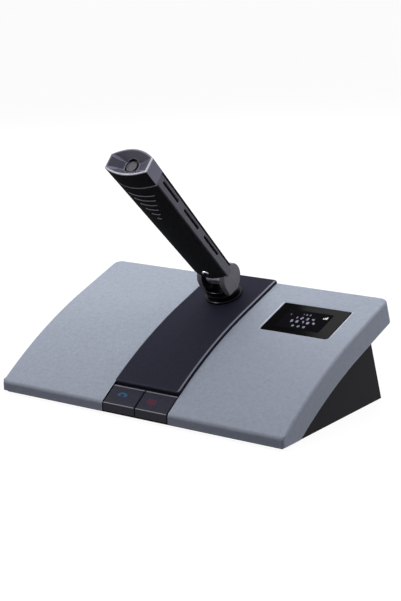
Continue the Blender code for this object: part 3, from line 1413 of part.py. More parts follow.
def main():
    clear_scene()
    materials = make_materials()
    window_y = FRONT_Y + WINDOW_RUN
    window = make_frame(
        "window_frame", (WINDOW_CENTRE_X, window_y, surface_z(window_y)), REAR_SLOPE
    )
    key_frame = make_frame("key_frame", key_place(), KEY_SLOPE)
    rear = make_frame("rear_wall_frame", on_rear_wall(REAR_ROW), REAR_SLOPE - math.pi / 2)
    normal = Vector((0.0, -math.sin(REAR_SLOPE), math.cos(REAR_SLOPE)))
    panel_top = Vector((0.0, SWIVEL_Y, surface_z(SWIVEL_Y))) + normal * PANEL_PROUD
    swivel = make_frame("swivel_axis", panel_top, REAR_SLOPE)
    arm_turn = math.pi / 2 - ARM_RAISED - REAR_SLOPE
    tilt = make_frame("tilt_axis", (0.0, -PIVOT_FORWARD, PIVOT_HEIGHT), arm_turn, swivel)

    cover = make_cover(materials, window)
    spindle_hole = make_panel(materials, swivel)
    combine(cover, spindle_hole)
    make_keys(materials, key_frame)
    make_fascia(materials, key_frame)
    make_display(materials, window)
    make_tray(materials, rear)
    make_underside(materials)
    make_inside(materials, rear)
    grub_holes = make_swivel(materials, swivel)
    make_fork(materials, swivel, grub_holes)
    make_knuckle(materials, tilt)
    make_arm_shells(materials, tilt)
    make_head(materials, tilt)
    make_arm_board(materials, tilt)


main()
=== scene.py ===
"""Looks of a conference delegate unit: a painted wedge base with two keys, a display and a microphone arm.

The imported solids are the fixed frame. The pieces that show most are modelled here again, in the same places,
with fine curves and rounded edges. The others keep their shape, and every piece gets its finish.
Metres, +Z up, and the user sits at -Y.
"""

import json
import math

import bmesh
import bpy
from mathutils import Matrix, Vector


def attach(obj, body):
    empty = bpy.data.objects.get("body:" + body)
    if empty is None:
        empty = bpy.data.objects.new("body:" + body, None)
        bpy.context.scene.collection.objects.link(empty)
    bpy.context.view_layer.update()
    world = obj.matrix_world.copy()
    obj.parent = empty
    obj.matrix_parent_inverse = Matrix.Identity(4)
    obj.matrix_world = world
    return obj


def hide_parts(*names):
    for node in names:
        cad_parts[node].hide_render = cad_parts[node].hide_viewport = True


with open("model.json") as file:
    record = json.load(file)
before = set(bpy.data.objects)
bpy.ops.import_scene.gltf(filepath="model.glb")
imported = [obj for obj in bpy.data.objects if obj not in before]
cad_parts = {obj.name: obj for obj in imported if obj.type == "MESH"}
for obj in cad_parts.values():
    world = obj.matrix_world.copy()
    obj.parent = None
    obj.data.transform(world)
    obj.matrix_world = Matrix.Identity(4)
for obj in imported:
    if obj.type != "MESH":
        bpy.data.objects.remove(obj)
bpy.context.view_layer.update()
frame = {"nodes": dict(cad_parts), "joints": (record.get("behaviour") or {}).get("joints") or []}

MM = 0.001
DEG = math.pi / 180
GAP = 0.3 * MM
OVERRUN = 2.0 * MM
HAIR = 0.02 * MM

FINE_STEPS = 96
RIM_STEPS = 64
SMALL_STEPS = 48
ARC_STEPS = 12
SMOOTH_ANGLE = 32 * DEG
FACET_ANGLE = 12 * DEG
CORNER_ANGLE = 40 * DEG

# How square a face stands to an axis: the part of its normal that lies along it
SQUARE_ON = 0.98
FACING = 0.9
UPWARD = 0.8
HALFWAY = 0.5
SLOPING = 0.3
SLOPING_MOST = 0.95
HARDLY = 0.1

# Top cover
COVER_WIDTH = 200.0 * MM
COVER_RUN = 114.0 * MM
ARC_RUN = 77.0 * MM
FRONT_SLOPE = 35.8 * DEG
LIP_BOTTOM = 1.8 * MM
LIP_TOP = 7.2 * MM
COVER_DEPTH = 14.2 * MM
COVER_WALL = 1.8 * MM
COVER_EDGE = 1.5 * MM
FRONT_CORNER = 1.9 * MM
REAR_CORNER = 5.2 * MM
CHANNEL_WIDTH = 46.8 * MM
CHANNEL_DEPTH = 2.0 * MM
RIM_MOST_LEVEL = 0.99
KEY_RUN = 11.6 * MM

# Centre panel and keys
PANEL_PROUD = 2.0 * MM
PANEL_CORNER = 1.6 * MM
PANEL_EDGE = 0.9 * MM
PANEL_EDGE_STEPS = 5
PANEL_STEPS = 60
PANEL_SPLIT = 0.7 * MM
PANEL_SIDE_GAP = 0.7 * MM
KEY_THICK = 2.0 * MM
KEY_SPLIT = 0.8 * MM
KEY_SIDE_GAP = 0.8 * MM
KEY_EDGE = 0.5 * MM
KEY_LINE_WIDTH = 0.35 * MM
KEY_LINE_LEAN = (0.25, 0.75)
KEY_APRON = 0.8 * MM
KEY_APRON_FOOT = 2.4 * MM
KEY_CLEARANCE = 0.9 * MM
FASCIA_BACK = 0.45 * MM
FASCIA_WALL = 1.7 * MM
POCKET_WIDTH = 34.0 * MM
POCKET_LENGTH = 8.0 * MM
POCKET_DEPTH = 3.4 * MM
ICON_OUT = 12.8 * MM
ICON_OUT_RIGHT = 8.6 * MM
ICON_SHIFT = -0.3 * MM
ICON_HALF = 2.9 * MM
ICON_RISE = 1.7 * MM
ICON_LINE = 1.1 * MM
RING_ICON_TURN = (-230 * DEG, 50 * DEG)

# Display
WINDOW_WIDTH = 45.4 * MM
WINDOW_LENGTH = 29.4 * MM
WINDOW_CENTRE_X = 62.9 * MM
WINDOW_RUN = 82.0 * MM
WINDOW_RADIUS = 1.2 * MM
WINDOW_FRONT_RADIUS = 2.4 * MM
WINDOW_THICK = 1.2 * MM
WINDOW_SINK = 0.25 * MM
WINDOW_EDGE = 0.25 * MM
WINDOW_RIM = 0.8 * MM
MODULE_BORDER = 3.0 * MM
SCREEN_LEFT = -15.5 * MM
SCREEN_RIGHT = 14.0 * MM
SCREEN_MIDDLE = -0.3 * MM
SCREEN_LENGTH = 19.0 * MM
PRINT_DEPTH = 0.05 * MM
PRINT_PROUD = 0.03 * MM
DIGIT_WIDTH_SHARE = 0.62
DIGIT_LINE_SHARE = 0.28
DIGIT_ROWS = (
    (-12.8 * MM, 3.4 * MM, 4.0 * MM, 1.2 * MM, "1"),
    (-4.9 * MM, 5.2 * MM, 2.3 * MM, 1.0 * MM, "100"),
    (-7.8 * MM, 0.8 * MM, 3.75 * MM, 1.8 * MM, "1234"),
    (-8.8 * MM, -3.0 * MM, 3.6 * MM, 1.8 * MM, "56789"),
    (-5.4 * MM, -7.3 * MM, 3.7 * MM, 1.4 * MM, "000"),
)
# Each bar of a digit joins two corners: a and b on top, c and d in the middle, e and f at the foot
DIGIT_BARS = {
    "0": ("ab", "bf", "fe", "ea"), "1": ("bf",), "2": ("ab", "bd", "dc", "ce", "ef"),
    "3": ("ab", "bf", "cd", "ef"), "4": ("ac", "cd", "bf"), "5": ("ba", "ac", "cd", "df", "fe"),
    "6": ("ba", "ae", "ef", "fd", "dc"), "7": ("ab", "bf"), "8": ("ab", "bf", "fe", "ea", "cd"),
    "9": ("dc", "ca", "ab", "bf"),
}
SIGNAL_BARS = 3
SIGNAL_X = 9.6 * MM
SIGNAL_Y = 4.0 * MM
SIGNAL_PITCH = 0.95 * MM
SIGNAL_STEP = 0.75 * MM
SIGNAL_LINE = 0.7 * MM

# Turned joint and fork
RING_RADIUS = 11.3 * MM
RING_BORE = 6.2 * MM
RING_HEIGHT = 1.3 * MM
RING_EDGE = 0.95 * MM
SPINDLE_RADIUS = 4.0 * MM
SPINDLE_BORE = 1.8 * MM
SPINDLE_END = -10.3 * MM
DISC_RADIUS = 9.8 * MM
DISC_TOP = 4.2 * MM
CUP_WAIST = 9.1 * MM
CUP_WAIST_HEIGHT = 0.8 * MM
CUP_RADIUS = 10.7 * MM
CUP_TOP = 7.8 * MM
CUP_WALL = 1.6 * MM
CUP_FLOOR = 5.6 * MM
CUP_DRAFT = 0.5 * MM
CUP_LIP = 0.5 * MM
CHEEK_INNER = 6.6 * MM
CHEEK_THICK = 3.4 * MM
CHEEK_RADIUS = 8.7 * MM
CHEEK_FOOT_FRONT = 6.8 * MM
CHEEK_FOOT_REAR = 2.2 * MM
CHEEK_SEAT = 0.5 * MM
CHEEK_EDGE = 0.6 * MM
CHEEK_ROUND = (-50 * DEG, 200 * DEG)
CHEEK_STEPS = 72
KNUCKLE_RADIUS = 6.2 * MM
KNUCKLE_EDGE = 0.5 * MM
BRAKE_THICK = 0.6 * MM

# Microphone arm: x across, n towards its back, s along it from the pivot to the head
ARM_RAISED = 43.8 * DEG
ARM_LENGTH = 115.8 * MM
ARM_HEAD_HALF = 14.4 * MM
ARM_FOOT_HALF = 11.1 * MM
ARM_HEAD_EDGE = 4.6 * MM
ARM_FOOT_EDGE = 3.7 * MM
ARM_HEAD_FRONT = 3.5 * MM
ARM_FOOT_FRONT = 2.3 * MM
ARM_HEAD_BACK = 4.8 * MM
ARM_FOOT_BACK = 2.8 * MM
ARM_WALL = 1.5 * MM
ARM_FRONT_SIDE = 0.8 * MM
ARM_BACK_SIDE = 0.7 * MM
ARM_CLEARANCE = 0.35 * MM
ARM_SPLIT = 0.15 * MM
SHELL_LIP = 0.5 * MM
SHELL_ROUND = 0.3 * MM
CAP_START = 103.2 * MM
CAP_SIDE_STEPS = 8
CAP_CAVITY_TOP = 108.6 * MM
CAP_RIM = 1.0 * MM
CAP_EDGE = 0.55 * MM
RECESS_DEPTH = 4.0 * MM
RECESS_ROWS = 6
RECESS_MIDDLE = 0.1 * MM
FACET_FLOOR_WIDTH = 10.0 * MM
FACET_FLOOR_DEPTH = 5.0 * MM
RING_PIT_RADIUS = 4.5 * MM
RING_PIT_DEPTH = 0.8 * MM
RING_PIT_TOP = 2.4 * MM
GRILLE_SOCKET = 1.8 * MM
GRILLE_RADIUS = 3.3 * MM
RIDGE_TOP_WIDTH = 0.9 * MM
RIDGE_FLOOR_WIDTH = 0.3 * MM
GRILLE_PROUD = 0.4 * MM
GRILLE_RIM = 0.7 * MM
GRILLE_DISH = 0.3 * MM
SOUND_ROWS = 6
SOUND_FIRST = 95.2 * MM
SOUND_PITCH = 4.6 * MM
SOUND_HEIGHT = 1.1 * MM
SOUND_FLARE = 1.0 * MM
SOUND_MOUTH = 0.6 * MM
SOUND_THROAT = 0.35 * MM
SOUND_FIRST_HALF = 8.8 * MM
SOUND_LAST_HALF = 1.3 * MM
SIDE_SLOTS = 3
SIDE_SLOT_LENGTH = 20.0 * MM
SIDE_SLOT_PITCH = 27.3 * MM
SIDE_SLOT_FIRST = 33.8 * MM
SIDE_SLOT_BACK = 0.9 * MM
SIDE_SLOT_HEIGHT = 1.7 * MM
SIDE_SLOT_RIM = 0.35 * MM
STRIP_THICK = 0.8 * MM
STRIP_SINK = 0.2 * MM
STRIP_EDGE = 0.35 * MM
STRIP_FOOT = 4.6 * MM
STRIP_CORNER = 2.2 * MM
ARM_SCREW_S = 12.4 * MM
ARM_SCREW_HEAD_RADIUS = 2.3 * MM
ARM_SCREW_HEAD = 1.3 * MM
ARM_SCREW_SINK = 0.7 * MM
ARM_SCREW_SHANK = 1.2 * MM
ARM_SCREW_BITE = 3.0 * MM
ARM_SCREW_EDGE = 0.4 * MM
ARM_SCREW_DOME = 80 * DEG
ARM_SCREW_SOCKET = 1.15 * MM
ARM_SCREW_SOCKET_DEPTH = 0.8 * MM
NECK_FRONT = 3.6 * MM
NECK_BACK = 4.2 * MM
NECK_TOP = 27.0 * MM


# Places read from the frame


def evenly(start, end, steps):
    """Numbers from start to end in even steps, both ends included."""
    return [start + (end - start) * index / steps for index in range(steps + 1)]


def joint(name):
    """The frame's entry for this joint."""
    return next(entry for entry in frame["joints"] if entry["name"] == name)


def tilted(place, slope):
    """A frame at this place whose Y runs up the slope."""
    return Matrix.Translation(place) @ Matrix.Rotation(slope, 4, "X")


swivel_axis = Vector(joint("arm_turn")["axis"]).normalized()
REAR_SLOPE = math.asin(-swivel_axis.y)
swivel = tilted(Vector(joint("arm_turn")["pos_m"]), REAR_SLOPE)
pivot_place = Vector(joint("arm_tilt")["pos_m"])
arm = tilted(pivot_place, math.pi / 2 - ARM_RAISED)
pivot = swivel.inverted() @ pivot_place

HALF_WIDTH = COVER_WIDTH / 2
HALF_CHANNEL = CHANNEL_WIDTH / 2
FRONT_Y = -COVER_RUN / 2
ARC_RADIUS = ARC_RUN / (math.sin(FRONT_SLOPE) - math.sin(REAR_SLOPE))
ARC_CENTRE_Y = FRONT_Y + ARC_RADIUS * math.sin(FRONT_SLOPE)
ARC_CENTRE_Z = LIP_TOP - ARC_RADIUS * math.cos(FRONT_SLOPE)
STRAIGHT = (COVER_RUN - ARC_RUN) / math.cos(REAR_SLOPE)


def on_arc(slope, depth):
    """The (y, z) point below the cover's curved top where it has this slope."""
    reach = ARC_RADIUS - depth
    return ARC_CENTRE_Y - reach * math.sin(slope), ARC_CENTRE_Z + reach * math.cos(slope)


def on_straight(distance, depth):
    """The (y, z) point below the cover's flat rear part, this far along it."""
    y, z = on_arc(REAR_SLOPE, depth)
    return y + distance * math.cos(REAR_SLOPE), z + distance * math.sin(REAR_SLOPE)


def slope_at_y(y, depth=0.0):
    """The slope of the curve at this y, on the line at this depth."""
    return math.asin((ARC_CENTRE_Y - y) / (ARC_RADIUS - depth))


def slope_at_z(z, depth):
    """The slope of the curve at this height, on the line at this depth."""
    return math.acos((z - ARC_CENTRE_Z) / (ARC_RADIUS - depth))


def corners_of(name):
    """A carried-over solid's points, as they lie in the scene."""
    node = frame["nodes"][name]
    return [node.matrix_world @ vertex.co for vertex in node.data.vertices]


def surface_z(y):
    """The height of the cover's top at this y."""
    if y > FRONT_Y + ARC_RUN:
        return on_arc(REAR_SLOPE, 0.0)[1] + (y - FRONT_Y - ARC_RUN) * math.tan(REAR_SLOPE)
    return on_arc(slope_at_y(y), 0.0)[1]


def skin_line(depth, first_slope, last_distance=STRAIGHT):
    """Points along the cover's top at this depth, from this slope to this place on the flat part."""
    slopes = evenly(first_slope, REAR_SLOPE, SMALL_STEPS)
    return [on_arc(slope, depth) for slope in slopes] + [on_straight(last_distance, depth)]


window_y = FRONT_Y + WINDOW_RUN
window = tilted(Vector((WINDOW_CENTRE_X, window_y, surface_z(window_y))), REAR_SLOPE)
KEY_REAR_SLOPE = slope_at_y(FRONT_Y + KEY_RUN)
KEY_SLOPE = (FRONT_SLOPE + KEY_REAR_SLOPE) / 2
keys = tilted(Vector((0.0, *on_arc(KEY_SLOPE, 0.0))), KEY_SLOPE)


# Shader groups, each built once and placed in the materials


def new_group(name, inputs, outputs):
    """A shader group of plain numbers; inputs holds the starting value of each."""
    group = bpy.data.node_groups.new(name, "ShaderNodeTree")
    for label, value in inputs.items():
        socket = group.interface.new_socket(label, in_out="INPUT", socket_type="NodeSocketFloat")
        socket.default_value = value
    for label in outputs:
        group.interface.new_socket(label, in_out="OUTPUT", socket_type="NodeSocketFloat")
    return group, group.nodes.new("NodeGroupInput"), group.nodes.new("NodeGroupOutput")


def fill(tree, node, inputs):
    """Sets a node's inputs, each to a plain value or to another node's output."""
    for label, value in inputs.items():
        if isinstance(value, bpy.types.NodeSocket):
            tree.links.new(value, node.inputs[label])
        else:
            node.inputs[label].default_value = value


def add(tree, kind, inputs=None, **settings):
    """A new node with these inputs and settings."""
    node = tree.nodes.new("ShaderNode" + kind)
    for label, value in settings.items():
        setattr(node, label, value)
    fill(tree, node, inputs or {})
    return node


def math_node(tree, operation, first, second=0.5):
    return add(tree, "Math", {0: first, 1: second}, operation=operation).outputs[0]


def object_place(tree):
    """The point being shaded, in the object's own metres."""
    return add(tree, "TexCoord").outputs["Object"]


def spread(tree, value, low, high):
    """Maps a value from 0..1 to low..high."""
    return add(tree, "MapRange", {"Value": value, "To Min": low, "To Max": high}).outputs["Result"]


def ramp(tree, value, start, end):
    """0 where the value is at start and 1 where it is at end; start may be the higher one."""
    return add(tree, "MapRange", {"Value": value, "From Min": start, "From Max": end}).outputs["Result"]


def bumped(tree, height, strength, distance, **settings):
    """The surface's normal with this height on it; distance is the height of 1."""
    inputs = {"Height": height, "Strength": strength, "Distance": distance}
    return add(tree, "Bump", inputs, **settings).outputs[0]


def scaled(colour, factor):
    return tuple(part * factor for part in colour)


def make_grain_group():
    """Fine moulded or sprayed texture: a height for bump and a mask for its highlights."""
    inputs = {"Scale": 900.0, "Softness": 0.5}
    group, given, out = new_group("fine_grain", inputs, ("Height", "Speckle"))
    place = object_place(group)
    scale = given.outputs["Scale"]
    fine = add(group, "TexNoise", {"Vector": place, "Scale": scale, "Detail": 3.0, "Roughness": 0.6})
    coarse = add(group, "TexNoise", {"Vector": place, "Scale": math_node(group, "MULTIPLY", scale, 0.31)})
    mixed = add(group, "Mix", {0: given.outputs["Softness"], 2: fine.outputs[0], 3: coarse.outputs[0]})
    cells = add(group, "TexVoronoi", {"Vector": place, "Scale": math_node(group, "MULTIPLY", scale, 0.8)})
    dots = ramp(group, cells.outputs["Distance"], 0.3, 0.05)
    fill(group, out, {"Height": mixed.outputs[0], "Speckle": dots})
    return group


def make_wear_and_highlight_group():
    """Edges that hands have worn smooth and that carry a painted highlight, as a mask broken up by noise."""
    group, given, out = new_group("edge_wear_and_highlight", {"Reach": 0.6 * MM, "Amount": 0.5}, ("Mask",))
    rounded = add(group, "Bevel", {"Radius": given.outputs["Reach"]}, samples=4)
    plain = add(group, "NewGeometry").outputs["Normal"]
    turned = add(group, "VectorMath", {0: rounded.outputs[0], 1: plain}, operation="DOT_PRODUCT")
    edge = ramp(group, turned.outputs["Value"], 0.995, 0.85)
    patches = add(group, "TexNoise", {"Vector": object_place(group), "Scale": 140.0, "Detail": 4.0})
    broken = math_node(group, "MULTIPLY", edge, patches.outputs[0])
    fill(group, out, {"Mask": math_node(group, "MULTIPLY", broken, given.outputs["Amount"])})
    return group


def make_handling_group():
    """Large soft patches, such as finger marks and settled dust, as a mask."""
    group, given, out = new_group("handling", {"Scale": 30.0, "Contrast": 0.5}, ("Mask",))
    noise = {"Vector": object_place(group), "Scale": given.outputs["Scale"], "Detail": 5.0}
    patches = add(group, "TexNoise", noise).outputs[0]
    reach = math_node(group, "MULTIPLY", given.outputs["Contrast"], 0.3)
    low, high = (math_node(group, operation, 0.5, reach) for operation in ("SUBTRACT", "ADD"))
    fill(group, out, {"Mask": ramp(group, patches, low, high)})
    return group


def make_brushed_group():
    """Fine parallel scratches along X, as a height."""
    group, given, out = new_group("brushed", {"Scale": 400.0}, ("Height",))
    across = add(group, "Mapping", {"Vector": object_place(group), "Scale": (0.05, 1.0, 1.0)})
    scratches = {"Vector": across.outputs[0], "Scale": given.outputs["Scale"], "Detail": 4.0}
    fill(group, out, {"Height": add(group, "TexNoise", scratches).outputs[0]})
    return group


GRAIN = make_grain_group()
WEAR_AND_HIGHLIGHT = make_wear_and_highlight_group()
HANDLING = make_handling_group()
BRUSHED = make_brushed_group()


# Materials

# How far hands change a finish, and how high its grain and its scratches stand
HANDLED_SHADE = 0.94
HANDLED_ROUGHER = 0.06
RUBBED_SMOOTHER = 0.18
GRAIN_HEIGHT = 0.08 * MM
SCRATCH_HEIGHT = 0.04 * MM


def place_group(tree, group, **values):
    """This shader group in a material, with these values."""
    node = tree.nodes.new("ShaderNodeGroup")
    node.node_tree = group
    fill(tree, node, values)
    return node


def new_material(name):
    material = bpy.data.materials.new(name)
    material.use_nodes = True
    tree = material.node_tree
    return material, tree, tree.nodes["Principled BSDF"]


def blended(tree, share, first, second):
    """A colour between two, each a plain colour or another node's output."""
    ends = [(*end, 1.0) if isinstance(end, tuple) else end for end in (first, second)]
    return add(tree, "Mix", {0: share, 6: ends[0], 7: ends[1]}, data_type="RGBA").outputs[2]


def moulded(
    name, colour, edge, roughness, grain=1500.0, bump=0.1, specular=0.2, speckle=0.0, wear_and_highlight=0.5, reach=0.6,
    mottle=0.0,
):
    """Moulded or painted plastic: grain, patches of gloss, and edges over reach mm that are worn by hands and
    painted lighter as a highlight.
    """
    material, tree, shader = new_material(name)
    texture = place_group(tree, GRAIN, Scale=grain, Softness=0.35)
    worn_or_lit_edges = place_group(tree, WEAR_AND_HIGHLIGHT, Reach=reach * MM, Amount=wear_and_highlight).outputs["Mask"]
    handled = place_group(tree, HANDLING, Scale=28.0, Contrast=0.9).outputs["Mask"]
    tint = blended(tree, handled, colour, scaled(colour, HANDLED_SHADE))
    if mottle:
        uneven = ramp(tree, texture.outputs["Height"], 0.35, 0.65)
        mottled = blended(tree, uneven, scaled(colour, 1 - mottle), scaled(colour, 1 + mottle))
        tint = blended(tree, 0.5, tint, mottled)
    if speckle:
        light = tuple(min(1.0, part * (1 + speckle) + speckle * 0.02) for part in colour)
        tint = blended(tree, texture.outputs["Speckle"], tint, light)
    gloss = spread(tree, handled, roughness, roughness + HANDLED_ROUGHER)
    smooth = math_node(tree, "MULTIPLY", worn_or_lit_edges, RUBBED_SMOOTHER)
    fill(tree, shader, {
        "Base Color": blended(tree, worn_or_lit_edges, tint, edge),
        "Roughness": math_node(tree, "SUBTRACT", gloss, smooth),
        "Specular IOR Level": specular,
        "Normal": bumped(tree, texture.outputs["Height"], bump, GRAIN_HEIGHT),
    })
    return material


def metal(name, colour, roughness, bump=0.15):
    """Plated or brushed metal with fine scratches."""
    material, tree, shader = new_material(name)
    handled = place_group(tree, HANDLING, Scale=160.0, Contrast=0.9).outputs["Mask"]
    lines = place_group(tree, BRUSHED, Scale=900.0).outputs["Height"]
    fill(tree, shader, {
        "Base Color": blended(tree, handled, colour, scaled(colour, 0.8)),
        "Metallic": 1.0,
        "Roughness": spread(tree, handled, roughness, roughness + 2 * HANDLED_ROUGHER),
        "Normal": bumped(tree, lines, bump, SCRATCH_HEIGHT),
    })
    return material


def woven(name, colour):
    """Black acoustic cloth: two crossed waves."""
    material, tree, shader = new_material(name)
    threads = {"Vector": object_place(tree), "Scale": 900.0}
    warp, weft = (add(tree, "TexWave", threads, bands_direction=way).outputs["Fac"] for way in "YZ")
    both = math_node(tree, "MULTIPLY", warp, weft)
    fill(tree, shader, {
        "Base Color": blended(tree, both, colour, scaled(colour, 3)),
        "Roughness": 0.95,
        "Specular IOR Level": 0.15,
        "Normal": bumped(tree, both, 0.6, 0.1 * MM),
    })
    return material


def perforated(name, colour, pitch):
    """A fine pressed grille: even rows of small dark holes."""
    material, tree, shader = new_material(name)
    rows = {"Vector": object_place(tree), "Scale": 1 / pitch, "Randomness": 0.25}
    hole = ramp(tree, add(tree, "TexVoronoi", rows).outputs["Distance"], 0.42, 0.28)
    fill(tree, shader, {
        "Base Color": blended(tree, hole, colour, scaled(colour, 0.4)),
        "Roughness": 0.5,
        "Specular IOR Level": 0.2,
        "Normal": bumped(tree, hole, 0.7, 0.2 * MM, invert=True),
    })
    return material


def printed(name, colour, glow=0.0):
    """Ink or a lit segment, slightly uneven."""
    material, tree, shader = new_material(name)
    uneven = place_group(tree, HANDLING, Scale=900.0, Contrast=0.8).outputs["Mask"]
    tint = blended(tree, uneven, colour, scaled(colour, 0.85))
    fill(tree, shader, {"Base Color": tint, "Roughness": 0.5, "Specular IOR Level": 0.03})
    if glow:
        fill(tree, shader, {"Emission Color": tint, "Emission Strength": glow})
    return material


# Each finish's edge colour lies on its edges as wear together with a painted highlight.
PAINT = moulded(
    "cover_paint", (0.350, 0.390, 0.455), (0.66, 0.70, 0.76), roughness=0.60, grain=1300.0, bump=0.30,
    specular=0.08, speckle=0.12, wear_and_highlight=0.8, reach=1.2, mottle=0.22,
)
WINDOW_RIM_HIGHLIGHT = moulded("window_rim_highlight", (0.62, 0.65, 0.72), (0.70, 0.74, 0.80), roughness=0.50, bump=0.2)
HOUSING = moulded(
    "black_moulding", (0.013, 0.012, 0.015), (0.06, 0.06, 0.07), roughness=0.60, grain=1300.0, bump=0.5,
    specular=0.08,
)
PANEL = moulded(
    "panel_moulding", (0.0235, 0.0250, 0.041), (0.20, 0.20, 0.24), roughness=0.55, grain=1700.0, bump=0.2,
    specular=0.02, wear_and_highlight=1.3, reach=1.6, mottle=0.3,
)
PANEL_EDGE_HIGHLIGHT = moulded(
    "panel_edge_highlight", (0.32, 0.32, 0.37), (0.40, 0.40, 0.46), roughness=0.45, grain=1700.0, bump=0.2,
    specular=0.10,
)
KEYS = moulded(
    "key_moulding", (0.036, 0.036, 0.056), (0.06, 0.06, 0.07), roughness=0.50, grain=1700.0, bump=0.2,
    specular=0.03, wear_and_highlight=0.3, mottle=0.3,
)
KEY_FRONT = moulded(
    "key_front", (0.062, 0.061, 0.074), (0.10, 0.10, 0.11), roughness=0.55, grain=1700.0, bump=0.2,
    specular=0.08, mottle=0.3,
)
KEY_EDGE_HIGHLIGHT = moulded(
    "key_edge_highlight", (0.26, 0.255, 0.29), (0.30, 0.29, 0.33), roughness=0.40, grain=1700.0, bump=0.2,
    specular=0.15,
)
GLASS = moulded(
    "smoked_window", (0.001, 0.001, 0.0015), (0.02, 0.02, 0.022), roughness=0.06, grain=500.0, bump=0.0,
    specular=0.006,
)
RUBBER = moulded(
    "foot_rubber", (0.012, 0.012, 0.013), (0.02, 0.02, 0.02), roughness=0.85, grain=1100.0, bump=0.7,
    specular=0.1,
)
GLOSS = moulded(
    "polished_black", (0.003, 0.003, 0.005), (0.04, 0.04, 0.045), roughness=0.14, grain=500.0, bump=0.02,
    specular=0.12, wear_and_highlight=0.3,
)
RING = moulded(
    "satin_ring", (0.003, 0.003, 0.005), (0.004, 0.004, 0.006), roughness=0.26, grain=500.0, bump=0.02,
    specular=0.08, wear_and_highlight=0.0,
)
FORK = moulded(
    "fork_moulding", (0.185, 0.180, 0.195), (0.36, 0.36, 0.38), roughness=0.45, grain=1100.0, bump=0.25,
    mottle=0.3,
)
ARM = moulded(
    "arm_moulding", (0.033, 0.0325, 0.0345), (0.06, 0.06, 0.07), roughness=0.85, grain=1300.0, bump=0.3,
    specular=0.01, speckle=0.4, wear_and_highlight=0.6, mottle=0.5,
)
LIP_HIGHLIGHT = moulded("slot_lip_highlight", (0.55, 0.54, 0.57), (0.60, 0.60, 0.62), roughness=0.45, bump=0.2)
STRIP = moulded(
    "strip_moulding", (0.130, 0.127, 0.152), (0.36, 0.36, 0.40), roughness=0.45, grain=1100.0, bump=0.2,
    wear_and_highlight=0.8, mottle=0.3,
)
STRIP_EDGE_HIGHLIGHT = moulded("strip_edge_highlight", (0.22, 0.215, 0.245), (0.36, 0.36, 0.40), roughness=0.40, bump=0.2)
CAP = moulded(
    "cap_moulding", (0.100, 0.098, 0.135), (0.40, 0.40, 0.47), roughness=0.40, specular=0.10, wear_and_highlight=3.0,
    reach=1.4,
)
CAP_SIDE = moulded("cap_side", (0.24, 0.235, 0.295), (0.36, 0.36, 0.40), roughness=0.45)
FRONT_RIM_HIGHLIGHT = moulded("front_rim_highlight", (0.62, 0.62, 0.71), (0.70, 0.70, 0.80), roughness=0.30, specular=0.4)
SIDE_RIM_HIGHLIGHT = moulded("side_rim_highlight", (0.88, 0.88, 0.96), (0.92, 0.92, 0.98), roughness=0.25, specular=0.6)
REAR_RIM = moulded("shaded_rim", (0.26, 0.26, 0.32), (0.36, 0.36, 0.42), roughness=0.30, specular=0.4)
RIDGE_HIGHLIGHT = moulded("ridge_highlight", (0.28, 0.28, 0.36), (0.40, 0.40, 0.47), roughness=0.35)
PAINTED_SHADE = moulded("ring_pit", (0.022, 0.021, 0.028), (0.05, 0.05, 0.06), roughness=0.50, specular=0.08)
NYLON = moulded(
    "nylon", (0.72, 0.71, 0.67), (0.8, 0.8, 0.78), roughness=0.5, grain=900.0, bump=0.2, specular=0.3
)
BOARD = moulded(
    "board", (0.02, 0.11, 0.05), (0.08, 0.16, 0.08), roughness=0.5, grain=600.0, bump=0.3, specular=0.3
)
SLEEVE = moulded(
    "battery_sleeve", (0.05, 0.09, 0.20), (0.10, 0.14, 0.25), roughness=0.4, grain=700.0, specular=0.3
)
SCREEN = moulded(
    "display_module", (0.0013, 0.0010, 0.0026), (0.01, 0.01, 0.015), roughness=0.3, grain=800.0, bump=0.05,
    specular=0.006,
)
STEEL = metal("plated_steel", (0.40, 0.40, 0.42), roughness=0.30)
DARK_STEEL = metal("blackened_steel", (0.20, 0.20, 0.215), roughness=0.22, bump=0.05)
CHROME = metal("chrome", (0.80, 0.80, 0.84), roughness=0.12, bump=0.05)
GRILLE = perforated("pressed_grille", (0.15, 0.145, 0.18), pitch=0.5 * MM)
CLOTH = woven("acoustic_cloth", (0.003, 0.003, 0.003))
BLUE_INK = printed("blue_ink", (0.030, 0.135, 0.25))
RED_INK = printed("red_ink", (0.165, 0.024, 0.055))
LIT = printed("lit_segments", (0.34, 0.33, 0.44), glow=0.3)
LIT_SIGNAL = printed("lit_signal", (0.70, 0.70, 0.72), glow=0.6)


# Mesh tools


def loft(loops, bm=None):
    """A closed solid through loops of equal length, capped at both ends; bm takes it in with others."""
    bm = bmesh.new() if bm is None else bm
    rings = [[bm.verts.new(point) for point in loop] for loop in loops]
    count = len(rings[0])
    for lower, upper in zip(rings, rings[1:]):
        for index in range(count):
            after = (index + 1) % count
            bm.faces.new((lower[index], lower[after], upper[after], upper[index]))
    bm.faces.new(list(reversed(rings[0])))
    bm.faces.new(rings[-1])
    return bm


def prism(outline, low_x, high_x):
    """A (y, z) outline drawn out along X."""
    return loft([[(x, y, z) for y, z in outline] for x in (low_x, high_x)])


def box(low, high):
    (x0, y0, z0), (x1, y1, z1) = low, high
    plan = ((x0, y0), (x1, y0), (x1, y1), (x0, y1))
    return column(plan, (z0, z1))


def circle(radius, steps=FINE_STEPS, centre=(0.0, 0.0)):
    turn = [2 * math.pi * index / steps for index in range(steps)]
    return [(centre[0] + radius * math.cos(a), centre[1] + radius * math.sin(a)) for a in turn]


def column(outline, levels):
    """Stacks an (x, y) outline at these heights."""
    return loft([[(x, y, z) for x, y in outline] for z in levels])


def bore(outline, depths):
    """An (x, z) outline at these places along Y."""
    return loft([[(x, y, z) for x, z in outline] for y in depths])


